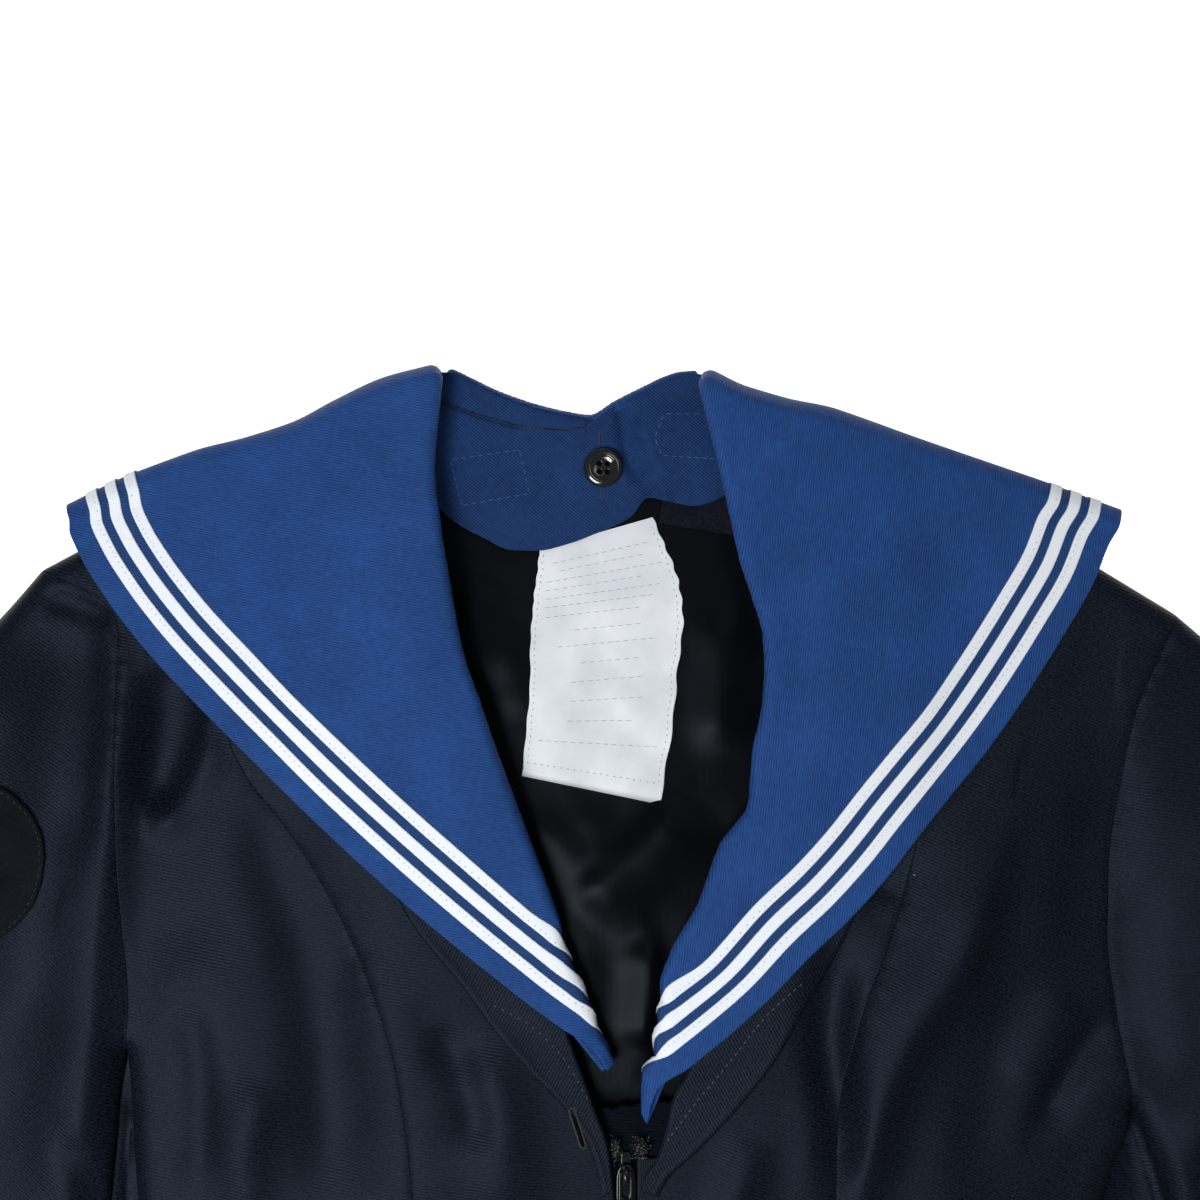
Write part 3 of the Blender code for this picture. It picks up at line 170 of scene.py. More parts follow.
# Folds of the fronts and sleeves. Columns: height, width on the left of the line, width on its right, then
# x, y of each point along it
FOLDS = [
    (6.2, 10.0, 19.0, [(-183, -6), (-185, -50), (-188, -84), (-192, -120), (-195, -160), (-201, -213),
                       (-210, -260)]),
    (-3.4, 8.0, 18.0, [(-200, 2), (-196, -40), (-197, -70), (-203, -104)]),
    (9.5, 26.0, 16.0, [(-238, -6), (-236, -60), (-241, -100), (-254, -170)]),
    (-7.4, 12.0, 11.0, [(-168, -22), (-163, -44), (-167, -66), (-173, -84)]),
    (3.4, 8.0, 6.0, [(-144, -34), (-149, -52), (-163, -78), (-174, -96)]),
    (-5.6, 18.0, 13.0, [(-130, -60), (-122, -102), (-112, -128), (-103, -192), (-100, -240)]),
    (-7.0, 8.0, 8.0, [(92.5, -128), (89, -148), (88, -165), (90, -183), (92, -206), (90, -236)]),
    (7.0, 10.0, 19.0, [(155, -80), (144, -117), (136, -139), (118, -165), (102, -205), (90, -250)]),
    (-3.4, 8.0, 8.0, [(111, -82), (110, -100), (106, -118)]),
    (-3.6, 7.0, 4.5, [(196, -158), (186, -170), (176, -186), (166, -204)]),
    (1.8, 12.0, 10.0, [(184, -150), (172, -166), (158, -190)]),
    (-2.6, 4.0, 4.0, [(-214, 2), (-196, -4), (-184, -8)]),
    (3.1, 20.0, 20.0, [(-160, -120), (-150, -160), (-140, -230)]),
    (3.3, 13.0, 13.0, [(-52, -170), (-40, -196), (-36, -240)]),
    (-2.7, 8.0, 8.0, [(-66, -160), (-52, -182), (-44, -214)]),
    (2.8, 9.0, 9.0, [(62, -206), (52, -226), (48, -250)]),
    (5.0, 20.0, 28.0, [(240, -50), (242, -110), (246, -170), (260, -240)]),
    (-2.0, 8.0, 11.0, [(208, -100), (206, -140), (214, -186)]),
    (-4.0, 10.0, 30.0, [(197, -50), (194, -100), (196, -150), (200, -190)]),
    (3.3, 24.0, 30.0, [(-92, -130), (-84, -170), (-66, -220), (-60, -250)]),
    (2.4, 9.0, 9.0, [(-128, -180), (-134, -206), (-136, -240)]),
    (-2.1, 7.0, 7.0, [(-158, -150), (-152, -190), (-154, -230)]),
    (1.4, 14.0, 14.0, [(136, -196), (132, -222), (124, -250)]),
    (-1.4, 12.0, 12.0, [(160, -130), (150, -180), (134, -230)]),
    (1.8, 12.0, 14.0, [(176, -60), (172, -100), (166, -140)]),
    (-2.1, 6.0, 6.0, [(-206, -200), (-196, -222), (-190, -250)]),
    (1.6, 9.0, 9.0, [(232, -190), (224, -216), (222, -250)]),
    (2.5, 16.0, 16.0, [(-60, -250), (-85, -330), (-70, -420)]),
    (-2.5, 20.0, 20.0, [(120, -270), (105, -350), (128, -440)]),
    (3.0, 20.0, 20.0, [(-290, -230), (-305, -330), (-330, -440)]),
    (3.0, 20.0, 20.0, [(300, -240), (318, -340), (340, -450)]),
    (-2.0, 12.0, 16.0, [(-262, -250), (-282, -330), (-300, -400)]),
    (-2.0, 12.0, 16.0, [(262, -270), (286, -350), (300, -420)]),
]
# Wrinkles of the lining, in the same columns
LINING_FOLDS = [
    (4.0, 17.0, 9.0, [(34, -76), (22, -92), (4, -108), (-10, -122)]),
    (3.2, 3.0, 11.0, [(19, -128), (20, -144), (19, -158), (16, -176)]),
    (2.2, 9.0, 9.0, [(47, 2), (47, -20), (46, -44), (43, -62)]),
    (1.1, 8.0, 7.0, [(-40, -8), (-34, -28), (-30, -48)]),
    (1.3, 9.0, 8.0, [(-30, -86), (-16, -94), (-6, -106)]),
    (0.8, 7.0, 6.0, [(-8, -80), (0, -92), (4, -104)]),
    (1.6, 9.0, 9.0, [(-44, 10), (-50, -10), (-46, -34)]),
    (1.2, 8.0, 8.0, [(-6, -134), (-4, -160), (0, -180)]),
]
# Soft dents and ripples of the lapels, in the same columns
LAPEL_FOLDS = [
    (-1.8, 7.0, 7.0, [(34, -112), (40, -120), (41, -130)]),
    (1.5, 6.0, 6.0, [(46, -104), (50, -116), (52, -128)]),
    (-1.1, 5.0, 5.0, [(24, -150), (30, -148), (38, -150)]),
    (-2.2, 9.0, 5.0, [(73, 20), (71, -10), (69, -34), (70, -52)]),
    (1.6, 14.0, 12.0, [(86, 10), (88, -20), (84, -60), (74, -90)]),
    (-1.2, 9.0, 9.0, [(100, -60), (84, -92), (70, -112)]),
    (1.2, 12.0, 12.0, [(-78, 40), (-74, 0), (-66, -40), (-54, -76)]),
    (-1.2, 9.0, 9.0, [(-92, -10), (-84, -50), (-66, -90)]),
    (0.9, 30.0, 30.0, [(90, 20), (110, -20), (118, -60)]),
    (-1.1, 26.0, 26.0, [(140, 30), (150, 0), (156, -30)]),
    (1.1, 28.0, 28.0, [(-100, 30), (-96, -20), (-84, -60)]),
    (-1.1, 24.0, 24.0, [(-150, 20), (-140, -10), (-120, -40)]),
]

# Columns: x, y of the outer edge, then x, y of the roll line
LAPEL = {
    "right": [(2.6, -180, 6.0, -177.3), (-3.8, -170, 2.3, -169.8), (-13.3, -164, -2.7, -158.2),
              (-21.6, -158, -6.8, -148.5), (-30.3, -151.6, -11.4, -138.3), (-39.8, -144, -15.2, -126.2),
              (-49.3, -136.4, -19, -113.7), (-70.1, -119, -26.5, -93.2), (-91, -100.4, -33.4, -74.7),
              (-111.8, -81.1, -40.2, -56.1), (-133, -60.6, -46.2, -37.9), (-153.5, -40.2, -51.9, -21.2),
              (-172.8, -19.7, -55.3, -4.5), (-188, 0, -58, 11.4), (-197, 14.4, -61, 30.3),
              (-202.4, 26.5, -62.9, 49.3)],
    "left": [(17.6, -200.0, 15.4, -195.6), (22, -186.8, 16.6, -181.2), (34.1, -178.1, 21.2, -166.8),
             (41, -172.5, 22.4, -158), (48.1, -166.8, 23.5, -147.8), (64.8, -151.6, 28.4, -132.7),
             (79.2, -136.4, 37.9, -116), (95.1, -121.3, 46.2, -93.2), (108.8, -106, 57, -77),
             (120.5, -91, 58.4, -58), (132.7, -75.8, 61.8, -41.7), (145.2, -60.6, 62.9, -26.5),
             (159.2, -41.3, 62.2, -13.6), (175.9, -15.2, 57.6, 2.3), (188, 5.7, 53.4, 15.2),
             (194, 20.8, 48.1, 39)],
}
# The same points' height over the front, roll radius and width of the strip turned in, from the tip up. Every
# later point is as the last row says.
LAPEL_ROLL = {
    "right": [(-5.5, 1.5, 5), (-2.5, 2.2, 8), (0, FRONT_ROLL, 8), (0, FRONT_ROLL, 9), (0, FRONT_ROLL, 10),
              (0, FRONT_ROLL, 11), (0, FRONT_ROLL, 12)],
    "left": [(-3.9, 1.2, 5), (-2.5, 2.0, 8), (0, FRONT_ROLL, 8), (0, FRONT_ROLL, 9), (0, FRONT_ROLL, 10),
             (0, FRONT_ROLL, 12)],
}
SHOULDER_LINE = {"right": ((-204.7, 36.4), (-61.4, 86.8)), "left": ((200, 33.8), (39.8, 86.8))}
# Columns: share of that line from the outer corner, mm by which the fold bulges beyond it
SHOULDER_BULGE = {
    "right": [(0, 0), (0.2, 3.0), (0.35, 3.2), (0.5, 1.3), (0.62, 0.6), (0.75, 3.0), (0.88, 4.8), (1, 3.4)],
    "left": [(0, 0.5), (0.25, 1.7), (0.5, 2.0), (0.7, 2.3), (0.83, 0), (0.92, -0.5), (1, 1.2)],
}
FOLD_ANGLES = (90, 55, 20, -20, -55, -90)
# Columns: edge x, edge y, neck fold x, neck fold y
FLAP = [(FLAP_TOP_RIGHT_X, 5, -57.5, 88.6), (FLAP_RIGHT_X, -75, -49, 84.8),
        (FLAP_RIGHT_X, FLAP_BOTTOM_Y, -40, 80.5), (-120, FLAP_BOTTOM_Y, -25, 75.2),
        (-60, FLAP_BOTTOM_Y, -14, 72.5), (-2, FLAP_BOTTOM_Y, -4, 71), (60, FLAP_BOTTOM_Y, 6, 76.5),
        (120, FLAP_BOTTOM_Y, 17, 82), (FLAP_LEFT_X, FLAP_BOTTOM_Y, 25, 85.8), (FLAP_LEFT_X, -75, 31, 87.6),
        (FLAP_TOP_LEFT_X, 5, 36.5, 88.0)]
FLAP_TURN_IN = 0.8
SHOULDER_TURN_IN = 1.2
TAPE_OVER_ROLL = 1.9  # a tape ends where its outer edge has passed this many radians of the roll

# Columns: x, upper y, lower y
YOKE = [(-68, 85.5, 39.5), (-62, 87.6, 35), (-56.6, 87.6, 30.4), (-45.4, 81.7, 24.2), (-34.2, 76.6, 19.2),
        (-25, 73.6, 18.9), (-10, 70.2, 22.3), (-3, 69.4, 25), (3.8, 73.6, 27.7), (12.3, 78.0, 32.3),
        (18.1, 81.0, 39.4), (27.3, 84.9, 37.7), (36, 87.2, 36.2), (44, 85, 38.2), (54, 76, 45)]
YOKE_SEAM = [(-64, 77.2), (-61.6, 76.2), (-48, 71.4), (-33.8, 67.2), (-19, 65.6), (-11.8, 65.2), (-6, 66.4),
             (-1.5, 69.2)]
YOKE_Z = 8.3
# Columns: x, y of the right edge, then x, y of the left one
LABEL = [(-23.2, 19.5, 20, 32), (-25, 5, 28, 14), (-26.5, -10, 32, -4), (-27.4, -38, 29.5, -34),
         (-30.3, -68, 23.5, -79)]
HOOK_CENTRE = (45, 37)
HOOK_SIZE = (42, 22)
HOOK_TURN = -9.0
BUTTON_CENTRE = (1.2, 50.9)
BADGE_CENTRE = (-245, -99)
BADGE_RADIUS = 34.0

ZIP_X = 9.9
ZIP_TAPE_WIDTH = 13.0
CHAIN_WIDTH = 7.4
CHAIN_Z = (10.9, 13.0)
ZIP_TAPE_Z = (12.1, 13.1)
ZIP_TOP_Y = -207.0
TOOTH_PITCH = 1.5
SLIDER_TOP_Y = -216.0
GUARD_Z = (9.0, 10.6)
GUARD_WIDTH = 40.0

BAR_SIDES = 10
# Distances from a grid's border at which its first lines lie, so that the border can be rounded
BORDER = (0, 0.12, 0.4, 0.9, 1.6, 2.6, 4.0, 6.2, 9.0)


def smooth(t):
    """Smooth step: 3 t^2 - 2 t^3 of a share t held between 0 and 1."""
    t = np.clip(t, 0, 1)
    return t * t * (3 - 2 * t)


def unit(v):
    """Each vector divided by its own length."""
    v = np.asarray(v, float)
    return v / np.maximum(np.linalg.norm(v, axis=-1, keepdims=True), 1e-9)


def curve(x, y, at):
    """Smooth curve through the points x, y: cubic pieces whose slopes are the harmonic means of the steps beside
    them, and level where the steps change sign, so that it never overshoots. y may have more than one column."""
    x, y, at = np.asarray(x, float), np.asarray(y, float), np.asarray(at, float)
    flat = y.reshape(len(x), -1)
    gap = np.diff(x)[:, None]
    step = np.diff(flat, axis=0) / gap
    slope = np.zeros_like(flat)
    slope[0], slope[-1] = step[0], step[-1]
    same = step[:-1] * step[1:] > 0
    near, far = 2 * gap[1:] + gap[:-1], gap[1:] + 2 * gap[:-1]
    safe = np.where(same, step[:-1], 1), np.where(same, step[1:], 1)
    slope[1:-1] = np.where(same, (near + far) / (near / safe[0] + far / safe[1]), 0)
    at = np.clip(at, x[0], x[-1])
    k = np.clip(np.searchsorted(x, at, side="right") - 1, 0, len(x) - 2)
    t = ((at - x[k]) / gap[k, 0])[:, None]
    h = gap[k]
    made = ((1 + 2 * t) * (1 - t) ** 2 * flat[k] + t * (1 - t) ** 2 * h * slope[k]
            + t * t * (3 - 2 * t) * flat[k + 1] + t * t * (t - 1) * h * slope[k + 1])
    return made.reshape((len(at),) + y.shape[1:])


def run_along(points):
    """Length run from a line's start to each of its points."""
    return np.concatenate([[0], np.cumsum(np.linalg.norm(np.diff(points, axis=0), axis=1))])


def column(table, y):
    """x of a (y, x) table at the heights y, on a smooth curve."""
    table = np.array(table, float)
    y = np.asarray(y, float)
    return curve(-table[:, 0], table[:, 1], -y.reshape(-1)).reshape(y.shape)


def line_distance(points, line):
    """Distance in plan to a polyline, the nearest point, the left-hand normal there, and the share of the line's
    length at which it lies."""
    line = np.asarray(line, float)
    run = run_along(line)
    best = np.full(len(points), 1e9)
    near = np.zeros_like(points)
    normal = np.zeros_like(points)
    where = np.zeros(len(points))
    for k, (start, end) in enumerate(zip(line[:-1], line[1:])):
        along = end - start
        share = np.clip((points - start) @ along / (along @ along), 0, 1)
        foot = start + share[:, None] * along
        gap = np.linalg.norm(points - foot, axis=1)
        closer = gap < best - 1e-9
        best = np.where(closer, gap, best)
        near[closer] = foot[closer]
        normal[closer] = unit((-along[1], along[0]))
        where[closer] = (run[k] + share[closer] * np.linalg.norm(along)) / run[-1]
    return best, near, normal, where


def folds(points, table):
    """Sum of the folds: each has a bell section, wider on one side than on the other, and fades at its ends."""
    total = np.zeros(len(points))
    for height, left_width, right_width, line in table:
        line = np.array(line, float)
        if len(line) > 2:
            run = run_along(line)
            line = curve(run, line, np.linspace(0, run[-1], 4 * len(line)))
        reach = 3 * max(left_width, right_width)
        close = ((points > line.min(0) - reach) & (points < line.max(0) + reach)).all(1)
        gap, near, normal, share = line_distance(points[close], line)
        side = ((points[close] - near) * normal).sum(1)
        width = np.where(side > 0, left_width, right_width)
        ends = smooth(share / 0.25) * smooth((1 - share) / 0.25)
        total[close] += height * np.exp(-((gap / width) ** 2)) * (0.15 + 0.85 * ends)
    return total


def ripple(points, size, seed):
    """Slow random waves from -1 to 1: six sines whose directions and lengths follow from the seed."""
    pick = np.random.default_rng(seed)
    total = np.zeros(len(points))
    for _ in range(6):
        turn, length, phase = pick.uniform(0, math.pi), size * pick.uniform(0.6, 1.5), pick.uniform(0, 2 * math.pi)
        total += np.sin((points @ [math.cos(turn), math.sin(turn)]) * 2 * math.pi / length + phase)
    return total / 6


def folded_edges(side):
    """The folded edges of one side in plan, each a smooth line with the cloth on its left."""
    def smooth_line(first, second, table, step=6.0):
        """Points 6 mm apart along two columns of a table."""
        points = np.array(table, float)[:, [first, second]]
        run = run_along(points)
        return curve(run, points, np.arange(0, run[-1] + step, step))

    shoulder = np.array([(NECK_EDGE[side][0][1], NECK_EDGE[side][0][0]),
                         (PRINCESS_SEAM[side][0][1], PRINCESS_SEAM[side][0][0]),
                         (ARMHOLE[side][0][1], ARMHOLE[side][0][0])])
    lines = {"shoulder": shoulder, "outer": smooth_line(1, 2, SLEEVE[side]),
             "inner": smooth_line(3, 4, SLEEVE[side])[::-1], "flank": smooth_line(1, 0, SIDE_EDGE[side])}
    if side == "left":
        lines = {name: line[::-1] for name, line in lines.items()}
    return lines


EDGES = {side: folded_edges(side) for side in ("right", "left")}


def edge_field(points, side_of, own=None):
    """Distance to the nearest folded edge, and the plan direction that leads from it into the cloth."""
    distance = np.full(len(points), 1e9)
    inward = np.zeros_like(points)
    for side in ("right", "left"):
        if side_of not in (side, "both"):
            continue
        for name, line in EDGES[side].items():
            if own and name not in own:
                continue
            gap, near, normal, _ = line_distance(points, line)
            away = np.where(gap[:, None] > 0.5, unit(points - near), normal)
            closer = gap < distance
            distance = np.where(closer, gap, distance)
            inward[closer] = away[closer]
    return distance, inward


def plain_crown(points):
    """Height of the front with no folds: level, and risen at the sides of the neck."""
    x, y = points[:, 0], points[:, 1]
    rise = np.exp(-(((np.abs(x + 4) - NECK_RISE_X) / NECK_RISE_WIDTH) ** 2)) * smooth((y + 170) / 190)
    return BODY_Z + NECK_RISE * rise


def seam_relief(points):
    """The seams draw the cloth in: a narrow dip along each, and ripples across it that fade within a few mm."""
    total = np.zeros(len(points))
    for side in ("right", "left"):
        for table in (PRINCESS_SEAM[side], ARMHOLE[side]):
            line = np.array(table, float)[:, ::-1]
            run = run_along(line)
            dense = curve(run, line, np.linspace(0, run[-1], 60))
            close = ((points > dense.min(0) - 20) & (points < dense.max(0) + 20)).all(1)
            gap, _, _, share = line_distance(points[close], dense)
            phase = share * run[-1] * 2 * math.pi / PUCKER_LENGTH
            wave = np.sin(phase + 1.7 * np.sin(0.31 * phase))
            total[close] += PUCKER * wave * np.exp(-((gap / PUCKER_WIDTH) ** 2))
            total[close] -= SEAM_DIP * np.exp(-((gap / SEAM_DIP_WIDTH) ** 2))
    return total


def crown(points):
    """Height of the upper skin: the plain front, its folds and a slow unevenness away from the collar."""
    free = 1 - under_collar(points)
    soft = 0.7 * ripple(points, 75, 3) + 0.22 * ripple(points, 24, 4) + seam_relief(points)
    relief = FOLD_GAIN * folds(points, FOLDS)
    relief = np.where(relief < 0, FOLD_DEPTH * np.tanh(relief / FOLD_DEPTH), relief)
    return plain_crown(points) + np.minimum(relief, relief * free) + free * soft


def sole(points):
    """Height of the lower skin: on the floor, and lifted where the collar's flap lies under it."""
    x, y = points[:, 0], points[:, 1]
    beyond_x = np.maximum(np.maximum(FLAP_RIGHT_X - x, x - FLAP_LEFT_X), 0)
    beyond_y = np.maximum(FLAP_BOTTOM_Y - y, 0)
    return BACK_LIFT * (1 - smooth((np.hypot(beyond_x, beyond_y) - LIFT_MARGIN) / LIFT_RAMP))


def under_collar(points):
    """1 under the lapels, 0 from 12 mm outside their edges."""
    shares = []
    for side in ("right", "left"):
        edge = np.array(LAPEL[side], float)[:, :2]
        line = np.vstack([edge, SHOULDER_LINE[side][0]])
        if side == "right":
            line = line[::-1]
        gap, near, normal, _ = line_distance(points, line)
        inside = ((points - near) * normal).sum(1)
        shares.append(smooth((np.sign(inside) * gap + 12) / 12))
    return np.minimum(*shares)


def skin(plan, upper, side_of, on_edge, own):
    """Outer points and outward normals of a piece of skin over a plan grid. From a folded edge the skin rises in a
    quarter circle. on_edge marks points that lie on a folded edge, and own names that piece's folded edges."""
    shape = plan.shape[:2]
    points = plan.reshape(-1, 2)
    marked = on_edge.reshape(-1)
    distance, inward = edge_field(points, side_of)
    _, own_inward = edge_field(points, side_of, own)
    distance = np.where(marked, 0, distance)
    inward = np.where(marked[:, None], own_inward, inward)
    level = crown if upper else sole
    base = MID_Z + (SEAM_GAP / 2 if upper else -SEAM_GAP / 2)
    share = np.minimum(distance / EDGE_ROUND, 1)
    lift = np.sqrt(1 - (1 - share) ** 2)
    steep = np.where(share < 1, (1 - share) / (EDGE_ROUND * np.maximum(lift, 1e-4)), 0)
    target = level(points)
    z = base + (target - base) * lift
    reach = 0.5
    slope = [(level(points + d) - level(points - d)) / (2 * reach) for d in ((reach, 0), (0, reach))]
    slope = np.stack(slope, 1) * lift[:, None] + ((target - base) * steep)[:, None] * inward
    up = np.ones((len(points), 1))
    normal = unit(np.hstack([-slope, up])) if upper else unit(np.hstack([slope, -up]))
    outer = np.hstack([points, z[:, None]])
    return outer.reshape(*shape, 3), normal.reshape(*shape, 3)


def shifted(line, distance):
    """A polyline moved sideways, to its left for a positive distance."""
    line = np.asarray(line, float)
    step = unit(np.diff(line, axis=0))
    normal = np.stack([-step[:, 1], step[:, 0]], 1)
    before, after = np.vstack([normal[:1], normal]), np.vstack([normal, normal[-1:]])
    middle = unit(before + after)
    return line + distance * middle / np.maximum((middle * after).sum(1), 0.5)[:, None]


def grid_normals(grid):
    """Normals of a grid from the steps along its rows and columns, up where the rows run towards -y."""
    along, over = np.gradient(grid, axis=0), np.gradient(grid, axis=1)
    return unit(np.cross(over, along))


def border_distance(points):
    """Distance along the grid's own lines from each point to the nearest border."""
    nearest = []
    for axis in (0, 1):
        step = np.linalg.norm(np.diff(points, axis=axis), axis=-1)
        run = np.concatenate([np.zeros_like(np.take(step, [0], axis)), np.cumsum(step, axis=axis)], axis=axis)
        nearest.append(np.minimum(run, np.take(run, [-1], axis) - run))
    return np.minimum(*nearest)


def wall(outer, normal, thickness, edge=None):
    """Both faces of a cloth of the given thickness under outer points. From its border in, each face rises as a
    quarter circle, whose radius is edge or half the thickness."""
    thickness = np.broadcast_to(np.asarray(thickness, float), outer.shape[:2])
    radius = thickness / 2 if edge is None else np.minimum(edge, thickness / 2)
    close = np.minimum(border_distance(outer), radius)
    drop = 0.94 * (radius - np.sqrt(np.maximum(radius**2 - (radius - close) ** 2, 0)))
    return outer - normal * drop[..., None], outer - normal * (thickness - drop)[..., None]


def to_frame(points):
    """Millimetres in the drawing to metres in the frame."""
    points = np.asarray(points, float).reshape(-1, 3)
    return (points - np.array([ROW_ORIGIN[0], ROW_ORIGIN[1], 0])) * MM


def node_box(node):
    """Lowest and highest corner of a packed node, in the drawing."""
    return [np.array(corner) / MM + [*ROW_ORIGIN, 0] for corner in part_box(node)]


def add_mesh(name, points, faces, uv, material, slot, body=GARMENT, flat=False):
    """A mesh of quads and triangles from arrays, facing outwards, with a UV for each point where one is given."""
    points = to_frame(points)
    faces = [np.asarray(f, np.int64) for f in (faces if isinstance(faces, (list, tuple)) else [faces])]
    corners = [points[f] for f in faces]
    volume = sum((np.cross(c[:, k] - c[:, 0], c[:, k + 1] - c[:, 0]) * c[:, 0]).sum()
                 for c in corners for k in range(1, c.shape[1] - 1))
    if volume < 0:
        faces = [f[:, ::-1] for f in faces]
    loops = np.concatenate([f.reshape(-1) for f in faces])
    sizes = np.concatenate([np.full(len(f), f.shape[1]) for f in faces])
    mesh = bpy.data.meshes.new(name)
    mesh.vertices.add(len(points))
    mesh.vertices.foreach_set("co", points.reshape(-1))
    mesh.loops.add(len(loops))
    mesh.loops.foreach_set("vertex_index", loops)
    mesh.polygons.add(len(sizes))
    mesh.polygons.foreach_set("loop_start", np.concatenate([[0], np.cumsum(sizes)[:-1]]))
    mesh.polygons.foreach_set("loop_total", sizes)
    if uv is not None:
        layer = mesh.uv_layers.new(name="cloth")
        layer.data.foreach_set("uv", np.asarray(uv, float).reshape(-1, 2)[loops].reshape(-1))
    mesh.update(calc_edges=True)
    mesh.validate()
    if not flat:
        mesh.shade_smooth()
    mesh.materials.append(material)
    piece = bpy.data.objects.new(name, mesh)
    bpy.context.scene.collection.objects.link(piece)
    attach(piece, body)
    return piece


def grid_faces(rows, columns, start=0):
    """Quads between neighbouring rows and columns of points that are numbered row by row from start."""
    index = start + np.arange(rows * columns).reshape(rows, columns)
    return np.stack([index[:-1, :-1], index[1:, :-1], index[1:, 1:], index[:-1, 1:]], -1).reshape(-1, 4)


def shell(name, upper, lower, uv, material, slot, body=GARMENT):
    """A closed wall between two grids of points. uv is in metres and the same for both."""
    rows, columns = upper.shape[:2]
    count = rows * columns
    index = np.arange(count).reshape(rows, columns)
    loop = np.concatenate([index[0, :], index[1:, -1], index[-1, -2::-1], index[-2:0:-1, 0]])
    after = np.roll(loop, -1)
    rim = np.stack([loop, after, after + count, loop + count], -1)
    under = grid_faces(rows, columns, count)[:, ::-1]
    points = np.concatenate([upper.reshape(-1, 3), lower.reshape(-1, 3)])
    both = np.concatenate([uv.reshape(-1, 2)] * 2)
    faces = np.concatenate([grid_faces(rows, columns), under, rim[:, ::-1]])
    return add_mesh(name, points, faces, both, material, slot, body)


def lay_piece(node, faces, uv, finish, slot):
    """The cloth that stands for a node: a shell between two faces, which takes the place of the node, now hidden."""
    piece = shell(f"{node}_cloth", *faces, uv, finish_for(finish), slot)
    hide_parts(node)
    return piece


def skin_piece(node, plan, upper, side_of, on_edge, own, angle):
    """A piece of the wool skin over a plan grid, with its ribs at an angle."""
    outer, normal = skin(plan, upper, side_of, on_edge, own)
    lay_piece(node, wall(outer, normal, WOOL, SEAM_EDGE), turned_uv(plan, angle), "serge", "wool_serge")


def level_piece(node, level, plan, thickness, angle, finish, slot):
    """A piece laid over a height function, with its ribs at an angle. Returns it."""
    outer, normal = laid(level, plan)
    return lay_piece(node, wall(outer, normal, thickness), turned_uv(plan, angle), finish, slot)


def turned_uv(plan, degrees):
    """UV in metres, turned so that ribs along u lie at this angle in the drawing."""
    turn = math.radians(degrees)
    x, y = plan[..., 0], plan[..., 1]
    return np.stack([x * math.cos(turn) + y * math.sin(turn), -x * math.sin(turn) + y * math.cos(turn)], -1) * MM


def ruled(first, last, shares):
    """Grid between two lines: row k runs straight from first[k] to last[k], with its points at the shares."""
    return first[:, None, :] * (1 - shares[:, :, None]) + last[:, None, :] * shares[:, :, None]


def shares_across(width, step):
    """Shares from 0 to 1 across each row: close to both ends at the border's distances, evenly between."""
    width = np.asarray(width, float)[:, None]
    border = np.minimum(np.array(BORDER)[None], width * np.linspace(0, 0.3, len(BORDER))[None])
    count = max(int(np.median(width) / step), 3)
    inner = border[:, -1:] + (width - 2 * border[:, -1:]) * np.linspace(0, 1, count)[None, 1:-1]
    return np.hstack([border, inner, width - border[:, ::-1]]) / width


def fine_rows(top, step, coarse):
    """y of the rows of a front from its top to the hem, finer where the camera sees it."""
    border = np.array(BORDER)
    seen = np.linspace(top - border[-1], SEEN_Y, int((top - border[-1] - SEEN_Y) / step))
    hidden = np.linspace(SEEN_Y, HEM_Y + border[-1], int((SEEN_Y - HEM_Y - border[-1]) / coarse))
    return np.concatenate([top - border[:-1], seen, hidden[1:], HEM_Y + border[-2::-1]])


def row_points(table, rows):
    """Points of a side curve at the rows, spread between its own top and the hem."""
    share = (rows[0] - rows) / (rows[0] - HEM_Y)
    y = table[0][0] + share * (HEM_Y - table[0][0])
    return np.stack([column(table, y), y], 1)


def outer_points(side, rows):
    """Points of the armhole and the side edge at the rows."""
    pit = ARMHOLE[side][-1][0]
    x = np.where(rows >= pit, column(ARMHOLE[side], rows), column(SIDE_EDGE[side], rows))
    return np.stack([x, rows], 1)


# ---- materials


SOCKETS = {"specular": "Specular IOR Level", "specular_tint": "Specular Tint", "sheen_weight": "Sheen Weight"}


